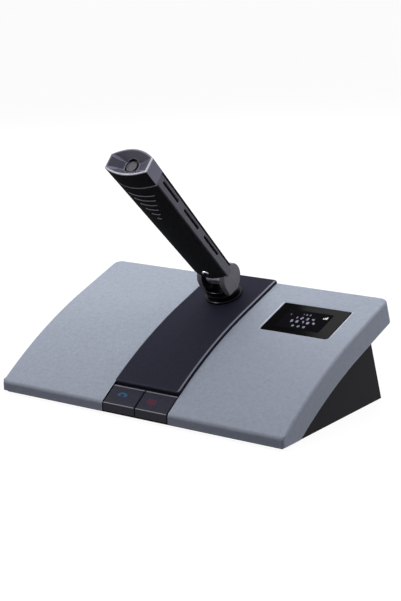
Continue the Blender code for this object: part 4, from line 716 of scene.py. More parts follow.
def turned(profile, steps=FINE_STEPS):
    """Turns a closed profile of (radius, z) points, none on the axis, about Z."""
    bm = bmesh.new()
    columns = []
    for index in range(steps):
        angle = 2 * math.pi * index / steps
        c, s = math.cos(angle), math.sin(angle)
        columns.append([bm.verts.new((radius * c, radius * s, z)) for radius, z in profile])
    count = len(profile)
    for index in range(steps):
        here, after = columns[index], columns[(index + 1) % steps]
        for row in range(count):
            below = (row + 1) % count
            bm.faces.new((here[row], after[row], after[below], here[below]))
    return bm


def rounded(outline, radii, steps=4):
    """Rounds the corners of a closed 2D outline, with a radius for each."""
    points = []
    count = len(outline)
    for index, corner in enumerate(outline):
        corner = Vector(corner)
        before = Vector(outline[index - 1]) - corner
        after = Vector(outline[(index + 1) % count]) - corner
        opening = before.angle(after)
        cut_back = radii[index] / math.tan(opening / 2)
        if radii[index] == 0 or abs(opening - math.pi) < DEG:
            points.append(tuple(corner))
            continue
        start, end = corner + before.normalized() * cut_back, corner + after.normalized() * cut_back
        for step in range(steps + 1):
            share = step / steps
            straight = (1 - share) ** 2 * start + 2 * share * (1 - share) * corner + share**2 * end
            points.append(tuple(straight))
    return points


def oblong(width, length, radius, front_right=None):
    """A rectangle with rounded corners; the front right one may have a radius of its own."""
    half_x, half_y = width / 2, length / 2
    last = radius if front_right is None else front_right
    corners = [(half_x, half_y), (-half_x, half_y), (-half_x, -half_y), (half_x, -half_y)]
    return rounded(corners, [radius, radius, radius, last], steps=6)


def grown(outline, margin):
    """The outline moved outwards by the margin, point by point along its normals."""
    count = len(outline)
    area = sum(a[0] * b[1] - b[0] * a[1] for a, b in zip(outline, outline[1:] + outline[:1]))
    side = 1 if area > 0 else -1
    points = []
    for index, (x, y) in enumerate(outline):
        (x0, y0), (x1, y1) = outline[index - 1], outline[(index + 1) % count]
        normal = Vector((y1 - y0, x0 - x1)).normalized() * margin * side
        points.append((x + normal.x, y + normal.y))
    return points


def tapered(outline, levels, place=lambda x, y, z: (x, y, z)):
    """A loft through an outline, grown by each level's margin and set by place(x, y, level)."""
    return loft([[place(x, y, level) for x, y in grown(outline, margin)] for level, margin in levels])


def into_scene(name, data):
    """A new object with this data, in the scene."""
    thing = bpy.data.objects.new(name, data)
    bpy.context.scene.collection.objects.link(thing)
    return thing


def solid(name, bm, place=None):
    """The object of this mesh, set at its place in the scene."""
    bmesh.ops.recalc_face_normals(bm, faces=bm.faces)
    if bm.calc_volume(signed=True) < 0:
        bmesh.ops.reverse_faces(bm, faces=bm.faces)
    if place is not None:
        bm.transform(place)
    mesh = bpy.data.meshes.new(name)
    bm.to_mesh(mesh)
    bm.free()
    return into_scene(name, mesh)


def settle(piece):
    """Turns a piece's modifiers into its mesh."""
    graph = bpy.context.evaluated_depsgraph_get()
    mesh = bpy.data.meshes.new_from_object(piece.evaluated_get(graph), depsgraph=graph)
    piece.modifiers.clear()
    piece.data = mesh


def triangulate(piece):
    bm = bmesh.new()
    bm.from_mesh(piece.data)
    bmesh.ops.triangulate(bm, faces=bm.faces)
    bm.to_mesh(piece.data)
    bm.free()


def cut(piece, bm, place=None, operation="DIFFERENCE"):
    """Cuts this tool from a piece, or joins it on. Both become triangles first, and the tool goes."""
    tool = solid("tool", bm, place)
    triangulate(piece)
    triangulate(tool)
    modifier = piece.modifiers.new("cut", "BOOLEAN")
    modifier.operation = operation
    modifier.object = tool
    settle(piece)
    bpy.data.objects.remove(tool, do_unlink=True)


def soften(bm, wanted, radius, segments):
    """Rounds the sharp edges that are wanted."""
    bmesh.ops.recalc_face_normals(bm, faces=bm.faces)
    shared = [edge for edge in bm.edges if len(edge.link_faces) == 2]
    edges = [edge for edge in shared if edge.calc_face_angle() >= CORNER_ANGLE and wanted(edge)]
    bmesh.ops.bevel(bm, geom=edges, offset=radius, segments=segments, profile=0.5, affect="EDGES")


def middle_of(edge):
    return (edge.verts[0].co + edge.verts[1].co) / 2


def dress(piece, material, body, nodes=(), smooth=SMOOTH_ANGLE, flats=True):
    """Gives a piece its finish and shading, and sets it on the body that it moves with."""
    piece.data.materials.clear()
    piece.data.materials.append(material)
    piece.data.shade_smooth()
    piece.data.set_sharp_from_angle(angle=smooth)
    if flats:
        even = piece.modifiers.new("even_shading", "WEIGHTED_NORMAL")
        even.keep_sharp = True
    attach(piece, body)
    if nodes:
        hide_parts(*nodes)
    return piece


def tone(piece, material, place, wanted):
    """A second finish for the faces that are wanted, judged by their centre and normal in this frame."""
    piece.data.materials.append(material)
    to_place = place.inverted()
    for face in piece.data.polygons:
        if wanted(to_place @ face.center, to_place.to_3x3() @ face.normal):
            face.material_index = len(piece.data.materials) - 1


def one_face(edge, wanted):
    """Whether the normal of just one of the edge's two faces is wanted."""
    return [wanted(face.normal) for face in edge.link_faces].count(True) == 1


def round_top(edge):
    """An edge round a top surface: only one of its two faces looks up."""
    return one_face(edge, lambda normal: normal.z > UPWARD and abs(normal.x) < HARDLY)


# Top cover


def make_cover():
    """The hollow cover: rounded edges, channel, key opening, window pocket and spindle hole."""
    top = skin_line(0.0, FRONT_SLOPE)
    under = skin_line(COVER_DEPTH, slope_at_z(LIP_BOTTOM, COVER_DEPTH))
    bm = prism([(FRONT_Y, LIP_BOTTOM)] + top + list(reversed(under)), -HALF_WIDTH, HALF_WIDTH)
    rear_top = Vector((0.0, *on_straight(STRAIGHT, 0.0)))
    along = Vector((0.0, math.cos(REAR_SLOPE), math.sin(REAR_SLOPE)))

    def at_side(edge):
        return abs(abs(middle_of(edge).x) - HALF_WIDTH) < HAIR

    def front_corner(edge):
        return at_side(edge) and abs(middle_of(edge).y - FRONT_Y) < HAIR

    def rear_corner(edge):
        return at_side(edge) and abs((middle_of(edge) - rear_top).dot(along)) < HAIR

    soften(bm, front_corner, FRONT_CORNER, segments=8)
    soften(bm, rear_corner, REAR_CORNER, segments=10)
    soften(bm, round_top, COVER_EDGE, segments=6)
    cover = solid("painted_cover", bm)

    inner, back = HALF_WIDTH - COVER_WALL, STRAIGHT - COVER_WALL
    front = FRONT_Y + COVER_WALL
    skin = CHANNEL_DEPTH + COVER_WALL
    far = on_straight(back, COVER_DEPTH + OVERRUN)
    hollow = [(front, -OVERRUN)] + skin_line(skin, slope_at_y(front, skin), back)
    cut(cover, prism(hollow + [far, (far[0], -OVERRUN)], -inner, inner))
    above = skin_line(-OVERRUN - PANEL_PROUD, KEY_REAR_SLOPE, STRAIGHT + OVERRUN)
    below = skin_line(CHANNEL_DEPTH, KEY_REAR_SLOPE, STRAIGHT + OVERRUN)
    cut(cover, prism(above + list(reversed(below)), -HALF_CHANNEL, HALF_CHANNEL))
    reach = KEY_THICK + LIP_TOP + OVERRUN
    low, high = on_arc(KEY_REAR_SLOPE, reach), on_arc(KEY_REAR_SLOPE, -reach)
    opening = [(FRONT_Y - OVERRUN, -OVERRUN), (low[0], -OVERRUN), low, high, (FRONT_Y - OVERRUN, high[1])]
    cut(cover, prism(opening, -HALF_CHANNEL, HALF_CHANNEL))
    outline = oblong(WINDOW_WIDTH, WINDOW_LENGTH, WINDOW_RADIUS, WINDOW_FRONT_RADIUS)
    depth = WINDOW_SINK + WINDOW_THICK + GAP
    rim = GAP + WINDOW_RIM
    above_rim = rim + GAP * WINDOW_RIM / WINDOW_SINK
    levels = ((-depth, GAP), (-WINDOW_SINK, GAP), (GAP, above_rim), (OVERRUN, above_rim + OVERRUN))
    cut(cover, tapered(outline, levels), window)
    hole = oblong(WINDOW_WIDTH - 2 * MODULE_BORDER, WINDOW_LENGTH - 2 * MODULE_BORDER, WINDOW_RADIUS)
    cut(cover, column(hole, (-skin - OVERRUN, OVERRUN)), window)
    spindle = circle(SPINDLE_RADIUS + GAP)
    cut(cover, column(spindle, (-skin - PANEL_PROUD - OVERRUN, OVERRUN)), swivel)
    dress(cover, PAINT, "base", ["top_cover"])
    half_x, half_y = WINDOW_WIDTH / 2 + rim, WINDOW_LENGTH / 2 + rim

    def on_window_rim(place, normal):
        at_edge = abs(place.x) < half_x and -half_y < place.y < WINDOW_LENGTH / 2
        return at_edge and -WINDOW_SINK < place.z and UPWARD < normal.z < RIM_MOST_LEVEL

    def in_shaded_channel(place, normal):
        return abs(place.x) < HALF_CHANNEL + HAIR and (abs(normal.x) > FACING or normal.z > HALFWAY)

    # Painted highlight: the chamfer round the window, at its front and sides, is painted light.
    tone(cover, WINDOW_RIM_HIGHLIGHT, window, on_window_rim)
    # Painted shade: the walls and floor of the cover's channel are painted in the housing's black.
    tone(cover, HOUSING, Matrix(), in_shaded_channel)


# Centre panel and keys


def round_drop(distance, radius):
    """How far a rounded edge lies below its corner at this distance from the corner's end."""
    if distance >= radius:
        return 0.0
    return radius - math.sqrt(radius**2 - (radius - distance) ** 2)


def make_panel():
    """One loft along the cover's curve, with a rounded top edge and rounded front corners."""
    half = HALF_CHANNEL - PANEL_SIDE_GAP
    first = slope_at_y(FRONT_Y + KEY_RUN + PANEL_SPLIT)
    curved = (first - REAR_SLOPE) * ARC_RADIUS
    length = curved + STRAIGHT - HAIR
    turn = [index / PANEL_EDGE_STEPS * math.pi / 2 for index in range(PANEL_EDGE_STEPS + 1)]
    near = [PANEL_EDGE * (1 - math.cos(angle)) for angle in turn]
    start, end = PANEL_CORNER, length - PANEL_EDGE
    middle = evenly(start, end, PANEL_STEPS)[:-1]
    loops = []
    for along in near + middle + [length - distance for distance in reversed(near)]:
        side = half - round_drop(along, PANEL_CORNER)
        high = PANEL_PROUD - round_drop(min(along, length - along), PANEL_EDGE)
        right = [(side, GAP - CHANNEL_DEPTH)]
        for angle in turn:
            lift = high - PANEL_EDGE * (1 - math.sin(angle))
            right.append((side - PANEL_EDGE * (1 - math.cos(angle)), lift))
        section = [(-x, height) for x, height in right] + list(reversed(right))
        loop = []
        for x, height in section:
            if along < curved:
                y, z = on_arc(first - along / ARC_RADIUS, -height)
            else:
                y, z = on_straight(along - curved, -height)
            loop.append((x, y, z))
        loops.append(loop)
    panel = solid("panel_moulding", loft(loops))
    cut(panel, column(circle(SPINDLE_RADIUS + GAP), (-4 * OVERRUN, OVERRUN)), swivel)
    dress(panel, PANEL, "base", ["centre_panel"])
    # Painted highlight: the rounded edge on the panel's right side is painted light.
    tone(panel, PANEL_EDGE_HIGHLIGHT, Matrix(), lambda place, normal: normal.z > SLOPING and normal.x > SLOPING)


def make_keys():
    """Two caps whose aprons hang in front of the fascia, with a painted highlight on their front and rear
    edges.
    """
    half = HALF_CHANNEL - KEY_SIDE_GAP
    rear = slope_at_y(FRONT_Y + KEY_RUN - GAP)
    line = slope_at_y(FRONT_Y + KEY_RUN - GAP - KEY_EDGE - KEY_LINE_WIDTH)
    slopes = evenly(FRONT_SLOPE, line, ARC_STEPS)

    def top_edge(edge):
        return one_face(edge, lambda normal: normal.z > UPWARD)

    def on_line(place, normal):
        at_rear = place.y > ARC_RADIUS * math.sin(KEY_SLOPE - line)
        at_front = KEY_LINE_LEAN[0] < -normal.y < KEY_LINE_LEAN[1]
        return normal.z > SLOPING and (at_rear or at_front)

    for name, low_x, high_x in (("left_key", -half, -KEY_SPLIT / 2), ("right_key", KEY_SPLIT / 2, half)):
        top = [on_arc(slope, 0.0) for slope in slopes + [rear]]
        inner_y = FRONT_Y + KEY_APRON
        low = [on_arc(rear, KEY_THICK), on_arc(slope_at_y(inner_y, KEY_THICK), KEY_THICK)]
        low += [(inner_y, KEY_APRON_FOOT), (FRONT_Y, KEY_APRON_FOOT)]
        bm = prism(top + low, low_x, high_x)
        bm.transform(keys.inverted())
        soften(bm, top_edge, KEY_EDGE, segments=4)
        key = solid(name + "_cap", bm, keys)
        dress(key, KEYS, name + "_body", [name])
        # Painted light: the keys' front faces get a lighter copy of the key colour, to offset the shade that
        # falls on them.
        tone(key, KEY_FRONT, Matrix(), lambda place, normal: normal.y < -SQUARE_ON)
        # Painted highlight: the rounded rear edge and the front bevel of each key are painted light.
        tone(key, KEY_EDGE_HIGHLIGHT, keys, on_line)


def make_fascia():
    """The dark block under the keys, set back behind their aprons."""
    top_depth = KEY_THICK + KEY_CLEARANCE
    front = FRONT_Y + KEY_APRON + FASCIA_BACK
    rear = slope_at_y(FRONT_Y + KEY_RUN - GAP)
    start = slope_at_y(front, top_depth)
    top = [on_arc(slope, top_depth) for slope in evenly(start, rear, ARC_STEPS)]
    wall = FRONT_Y + FASCIA_WALL
    step_z = min(place.z for place in corners_of("front_fascia") if place.y > wall + HAIR)
    foot = [(top[-1][0], step_z), (wall, step_z), (wall, LIP_BOTTOM)]
    half = HALF_CHANNEL - GAP
    fascia = solid("front_fascia_fine", prism([(front, LIP_BOTTOM)] + top + foot, -half, half))
    half_x, half_y = POCKET_WIDTH / 2, POCKET_LENGTH / 2
    low = (-half_x, -half_y, -top_depth - POCKET_DEPTH)
    cut(fascia, box(low, (half_x, half_y, OVERRUN - top_depth)), keys)
    dress(fascia, PANEL, "base", ["front_fascia"])


def arc_path(radius_x, radius_y, start, end, centre=(0.0, 0.0), steps=24):
    """Points on an oval between two angles."""
    angles = evenly(start, end, steps)
    return [(centre[0] + radius_x * math.cos(a), centre[1] + radius_y * math.sin(a)) for a in angles]


def stroke(bm, path, width, place):
    """A thin raised line along a path of (x, y) points; place turns (x, y, height) into a point."""
    left, right = [], []
    for index, point in enumerate(path):
        ahead = Vector(path[min(index + 1, len(path) - 1)]) - Vector(path[max(index - 1, 0)])
        side = Vector((-ahead.y, ahead.x)).normalized() * width / 2
        left.append(Vector(point) + side)
        right.append(Vector(point) - side)
    for first in range(len(path) - 1):
        plan = (left[first], right[first], right[first + 1], left[first + 1])
        loft([[place(x, y, height) for x, y in plan] for height in (-PRINT_DEPTH, PRINT_PROUD)], bm)


def make_key_icons():
    """A blue arch with two ends and a red broken ring with a bar, inlaid in the keys."""
    arch = arc_path(ICON_HALF, ICON_RISE, 0.0, math.pi)
    ends = [[(-ICON_HALF, 0.0), (-ICON_HALF / 3, 0.0)], [(ICON_HALF / 3, 0.0), (ICON_HALF, 0.0)]]
    ring = arc_path(ICON_HALF - ICON_LINE / 2, ICON_RISE, *RING_ICON_TURN)
    bar = [(0.0, -ICON_RISE), (0.0, ICON_RISE)]
    left = ("left_key", BLUE_INK, -ICON_OUT, [arch] + ends)
    right = ("right_key", RED_INK, ICON_OUT_RIGHT, [ring, bar])
    for name, ink, centre_x, lines in (left, right):

        def on_key(x, y, height):
            return (centre_x + x, *on_arc(KEY_SLOPE - (y + ICON_SHIFT) / ARC_RADIUS, -height))

        bm = bmesh.new()
        for line in lines:
            stroke(bm, line, ICON_LINE, on_key)
        dress(solid(name + "_icon", bm), ink, name + "_body", flats=False)


# Display


def make_display():
    """The smoked pane, and the display's dark area and lit digits as they show in it."""
    outline = oblong(WINDOW_WIDTH, WINDOW_LENGTH, WINDOW_RADIUS, WINDOW_FRONT_RADIUS)
    top = -WINDOW_SINK
    levels = ((top - WINDOW_THICK, 0.0), (top - WINDOW_EDGE, 0.0), (top, -WINDOW_EDGE))
    pane = solid("window_pane", tapered(outline, levels), window)
    dress(pane, GLASS, "base", ["display_window"])

    def lit(x, y, height):
        return (x, y, height - WINDOW_SINK + PRINT_PROUD)

    def behind(x, y, height):
        return (x, y, height - WINDOW_SINK)

    bm = bmesh.new()
    stroke(bm, [(SCREEN_LEFT, SCREEN_MIDDLE), (SCREEN_RIGHT, SCREEN_MIDDLE)], SCREEN_LENGTH, behind)
    dress(solid("screen_area", bm, window), SCREEN, "base", flats=False)
    bm = bmesh.new()
    for start_x, y, pitch, height, row in DIGIT_ROWS:
        for index, digit in enumerate(row):
            write_digit(bm, digit, start_x + index * pitch, y, height, lit)
    for index in range(SIGNAL_BARS):
        x, tall = SIGNAL_X + index * SIGNAL_PITCH, SIGNAL_STEP * (index + 1)
        stroke(bm, [(x, SIGNAL_Y), (x, SIGNAL_Y + tall)], SIGNAL_LINE, lit)
    digits = dress(solid("lit_digits", bm, window), LIT, "base", flats=False)
    tone(digits, LIT_SIGNAL, window, lambda place, normal: place.x > SIGNAL_X - SIGNAL_LINE)


def write_digit(bm, digit, x, y, height, place):
    """One seven-bar digit whose lower left corner is at (x, y)."""
    width, line = height * DIGIT_WIDTH_SHARE, height * DIGIT_LINE_SHARE
    corners = {"a": (0, 2), "b": (1, 2), "c": (0, 1), "d": (1, 1), "e": (0, 0), "f": (1, 0)}
    for start, end in DIGIT_BARS[digit]:
        path = [(x + corners[c][0] * width, y + corners[c][1] * height / 2) for c in (start, end)]
        stroke(bm, path, line, place)


# Turned joint and fork


def make_swivel():
    """The fixed ring, and the cup that turns in it with its spindle and a flat seat for each cheek."""
    low, high = GAP, GAP + RING_HEIGHT
    ring = [(RING_BORE, low), (RING_RADIUS, low), (RING_RADIUS, high), (RING_BORE, high)]
    bm = turned(rounded(ring, [0, 0, RING_EDGE, 0], steps=8))
    dress(solid("base_ring_turned", bm, swivel), RING, "base", ["base_ring"])

    disc_low = high + GAP
    waist = DISC_TOP + CUP_WAIST_HEIGHT
    inner = CUP_RADIUS - CUP_WALL
    outline = [(SPINDLE_RADIUS, SPINDLE_END), (SPINDLE_RADIUS, disc_low), (DISC_RADIUS, disc_low)]
    outline += [(DISC_RADIUS, DISC_TOP), (CUP_WAIST, DISC_TOP), (CUP_WAIST, waist), (CUP_RADIUS, waist)]
    outline += [(CUP_RADIUS, CUP_TOP), (inner, CUP_TOP), (inner - CUP_DRAFT, CUP_FLOOR)]
    outline += [(SPINDLE_BORE, CUP_FLOOR), (SPINDLE_BORE, SPINDLE_END)]
    lip = CUP_LIP
    bm = turned(rounded(outline, [0, 0, lip, lip, 0, 0, lip, lip, lip, 0, 0, 0], steps=6))
    cup = solid("swivel_cup_turned", bm, swivel)
    for side in (-1, 1):
        near, far = sorted((side * (CHEEK_INNER - GAP), side * (CUP_RADIUS + OVERRUN)))
        seat = box((near, -2 * CUP_RADIUS, DISC_TOP + CHEEK_SEAT), (far, 2 * CUP_RADIUS, CUP_TOP + OVERRUN))
        cut(cup, seat, swivel)
    dress(cup, GLOSS, "turntable", ["swivel_cup"])


def make_fork():
    """Two cheeks with round heads, rounded on the outside; the left one's inner face is painted dark as shade.
    """
    foot = DISC_TOP + CHEEK_SEAT + GAP
    head = arc_path(CHEEK_RADIUS, CHEEK_RADIUS, *CHEEK_ROUND, (pivot.y, pivot.z), CHEEK_STEPS)
    outline = [(CHEEK_FOOT_REAR, foot)] + head + [(-CHEEK_FOOT_FRONT, foot)]
    outer = CHEEK_INNER + CHEEK_THICK

    def outside(edge):
        at_face = abs(abs(middle_of(edge).x) - outer) < HAIR
        return at_face and one_face(edge, lambda normal: abs(normal.x) > FACING)

    for name, side in (("left_cheek", -1), ("right_cheek", 1)):
        bm = prism(outline, *sorted((side * CHEEK_INNER, side * outer)))
        soften(bm, outside, CHEEK_EDGE, segments=5)
        cheek = dress(solid(name + "_plate", bm, swivel), FORK, "turntable", [name])
        if side < 0:
            # Painted shade on the left cheek's inner face.
            tone(cheek, PAINTED_SHADE, swivel, lambda place, normal: normal.x > HALFWAY)


def make_knuckle():
    """The barrel between the cheeks, with the neck that goes up into the shells."""
    half = CHEEK_INNER - 2 * GAP - BRAKE_THICK
    edge = KNUCKLE_EDGE
    levels = ((-half, edge), (-half + edge, 0.0), (half - edge, 0.0), (half, edge))
    bm = loft([[(x, y, z) for y, z in circle(KNUCKLE_RADIUS - inset)] for x, inset in levels])
    knuckle = solid("arm_knuckle_barrel", bm, arm)
    cut(knuckle, box((-half + edge, -NECK_FRONT, 0.0), (half - edge, NECK_BACK, NECK_TOP)), arm, "UNION")
    dress(knuckle, DARK_STEEL, "arm", ["arm_knuckle"])


# Microphone arm


def grade(foot, head, s):
    """A measure that changes evenly along the arm, at this length."""
    return foot + (head - foot) * s / ARM_LENGTH


def arm_half(s):
    """Half the arm's width at this length."""
    return grade(ARM_FOOT_HALF, ARM_HEAD_HALF, s)


def arm_edge(s):
    """Half the arm's thickness along its sides at this length."""
    return grade(ARM_FOOT_EDGE, ARM_HEAD_EDGE, s)


def arm_face(s, x, inset, back):
    """How far the front or back face stands from the arm's middle plane, at this x."""
    ends = (ARM_FOOT_BACK, ARM_HEAD_BACK) if back else (ARM_FOOT_FRONT, ARM_HEAD_FRONT)
    return arm_edge(s) - inset + grade(*ends, s) * (1 - (x / arm_half(s)) ** 2)


def arm_arc(s, inset, back):
    """Points (x, n) across the front or back face, this far inside it."""
    half = arm_half(s) - inset
    sign = 1 if back else -1
    xs = [half * (2 * index / SMALL_STEPS - 1) for index in range(SMALL_STEPS + 1)]
    return [(x, sign * arm_face(s, x, inset, back)) for x in xs]


def shell_section(s, back, sink=0.0):
    """A shell's outline: one face of the arm with its two short sides and a small round on each corner."""
    sign = 1 if back else -1
    side = ARM_BACK_SIDE if back else ARM_FRONT_SIDE
    half = arm_half(s) - sink
    lip = sign * (arm_edge(s) - side)
    face = arm_arc(s, sink, back)
    outer = [(-half, lip)] + face + [(half, lip)]
    inner_half = half - ARM_WALL
    inner = [(-inner_half, lip)]
    for x, n in arm_arc(s, ARM_WALL, back):
        inner.append((x, sign * max(sign * n, sign * lip + HAIR)))
    inner.append((inner_half, lip))
    outline = outer + list(reversed(inner))
    radii = [0.0] * len(outline)
    radii[1] = radii[len(face)] = SHELL_ROUND
    return [(x, n, s) for x, n in rounded(outline, radii, steps=3)]


def slot_outline(half, end_radius, steps=10, straight_steps=16):
    """A long hole with round ends; its straight sides have points enough to follow a curved face."""
    run = max(half - end_radius, HAIR)
    points = []
    for side, start in ((1, -math.pi / 2), (-1, math.pi / 2)):
        for step in range(steps + 1):
            angle = start + math.pi * step / steps
            points.append((side * run + end_radius * math.cos(angle), end_radius * math.sin(angle)))
        for step in range(1, straight_steps):
            points.append((side * run * (1 - 2 * step / straight_steps), side * end_radius))
    return points


def sound_cut(s, half):
    """A groove through the front face that follows its curve and flares at the mouth."""
    levels = ((-SOUND_MOUTH, SOUND_FLARE), (SOUND_THROAT, 0.0), (ARM_WALL + OVERRUN, 0.0))

    def in_face(x, z, depth):
        return x, -arm_face(s, x, depth, False), s + z

    return tapered(slot_outline(half, SOUND_HEIGHT / 2), levels, in_face)


def on_lip(place, normal):
    """The flared side of a sound slot that faces the head, or the bevel at the shell's end."""
    last = SOUND_FIRST - SOUND_ROWS * SOUND_PITCH
    return place.z > last and SLOPING < normal.z < SLOPING_MOST


def make_shells():
    """The arm's front and rear shells; the front one has the sound slots and the screw's well."""
    end = CAP_START - GAP
    steps = 8
    for name, back in (("arm_front_shell", False), ("arm_rear_shell", True)):
        sections = [shell_section((end - SHELL_LIP) * i / steps, back) for i in range(steps + 1)]
        bm = loft(sections + [shell_section(end, back, SHELL_LIP)])
        shell = solid(name + "_fine", bm, arm)
        if not back:
            for row, half in enumerate(evenly(SOUND_FIRST_HALF, SOUND_LAST_HALF, SOUND_ROWS - 1)):
                cut(shell, sound_cut(SOUND_FIRST - row * SOUND_PITCH, half), arm)
            seat = arm_face(ARM_SCREW_S, 0.0, 0.0, False) - ARM_SCREW_SINK
            well = circle(ARM_SCREW_HEAD_RADIUS + GAP, SMALL_STEPS, (0.0, ARM_SCREW_S))
            cut(shell, bore(well, (-seat - 4 * OVERRUN, -seat)), arm)
        reach = 2 * ARM_HEAD_HALF
        cut(shell, prism(circle(CHEEK_RADIUS + ARM_CLEARANCE), -reach, reach), arm)
        dress(shell, ARM, "arm", [name])
        if not back:
            # Painted highlight: the flared lips of the sound slots that face the head, and the bevel at the
            # shell's end, are painted light.
            tone(shell, LIP_HIGHLIGHT, arm, on_lip)


def strip_limits(s):
    """Where a side strip starts and ends between the shells, at this length."""
    edge = arm_edge(s)
    return -edge + ARM_FRONT_SIDE + ARM_SPLIT * 2, edge - ARM_BACK_SIDE - ARM_SPLIT * 2


def make_strips():
    """The strips between the shells, each with its slots and a painted highlight on its edge."""
    end = CAP_START - GAP
    low, high = strip_limits(STRIP_FOOT)
    end_low, end_high = strip_limits(end)
    corners = [(end_high, end), (end_low, end), (low, STRIP_FOOT), (high, STRIP_FOOT)]
    outline = rounded(corners, [0.0, 0.0, STRIP_CORNER, STRIP_CORNER], steps=10)
    slot = slot_outline(SIDE_SLOT_LENGTH / 2, SIDE_SLOT_HEIGHT / 2)
    levels = (
        (STRIP_SINK + STRIP_THICK, 0.0), (STRIP_SINK + STRIP_EDGE, 0.0), (STRIP_SINK, -STRIP_EDGE),
    )
    rim = STRIP_SINK + SIDE_SLOT_RIM
    slot_levels = ((-OVERRUN, OVERRUN + rim), (rim, 0.0), (3 * OVERRUN, 0.0))
    for name, side in (("left_side_strip", -1), ("right_side_strip", 1)):

        def on_side(n, s, sink):
            return side * (arm_half(s) - sink), n, s

        strip = solid(name + "_fine", tapered(outline, levels, on_side), arm)
        for index in range(SIDE_SLOTS):
            middle = SIDE_SLOT_FIRST + index * SIDE_SLOT_PITCH

            def in_slot(along, n, sink):
                return on_side(n + SIDE_SLOT_BACK, middle + along, sink)

            cut(strip, tapered(slot, slot_levels, in_slot), arm)
        dress(strip, STRIP, "arm", [name])
        # Painted highlight: the bevel round each strip is painted light.
        tone(strip, STRIP_EDGE_HIGHLIGHT, arm, lambda place, normal: SLOPING < abs(normal.x) < SLOPING_MOST)


def cap_ring(s, inset):
    """The cap's outline at this length: front, right, back and left runs of points."""
    front = arm_arc(s, inset, False)
    back = list(reversed(arm_arc(s, inset, True)))
    right = between(front[-1], back[0], CAP_SIDE_STEPS)
    left = between(back[-1], front[0], CAP_SIDE_STEPS)
    return [front, right, back, left]


def between(start, end, steps):
    """Points on the straight line from start to end."""
    start, end = Vector(start), Vector(end)
    return [tuple(start.lerp(end, index / steps)) for index in range(steps + 1)]


def joined(sides, s):
    """One closed loop of points from the four runs."""
    return [(x, n, s) for side in sides for x, n in side[:-1]]


def in_rim(place, side):
    """Outside the recess on this side of the cap, on its rounded edge or the flat beside it."""
    if side[0]:
        return place.x * side[0] > arm_half(ARM_LENGTH) - CAP_RIM
    return place.y * side[1] > arm_face(ARM_LENGTH, place.x, CAP_RIM, side[1] > 0)


def on_ridge(place, floor):
    """Beside one of the two left ridges between the facets."""
    share = (place.z - floor) / RECESS_DEPTH
    if place.x > 0 or not HAIR < place.z - floor < RECESS_DEPTH - HAIR:
        return False
    sign = 1 if place.y > RECESS_MIDDLE else -1
    low = Vector((-FACET_FLOOR_WIDTH / 2, RECESS_MIDDLE + sign * FACET_FLOOR_DEPTH / 2))
    half = arm_half(ARM_LENGTH) - CAP_RIM
    top = Vector((-half, sign * arm_face(ARM_LENGTH, half, CAP_RIM, sign > 0)))
    along = (top - low).normalized()
    offset = Vector((place.x, place.y)) - low
    reach = RIDGE_FLOOR_WIDTH + (RIDGE_TOP_WIDTH - RIDGE_FLOOR_WIDTH) * share
    return abs(offset.x * along.y - offset.y * along.x) < reach


def in_pit(place):
    """In the ring pit round the grille."""
    return math.hypot(place.x, place.y - RECESS_MIDDLE) < RING_PIT_RADIUS + HAIR


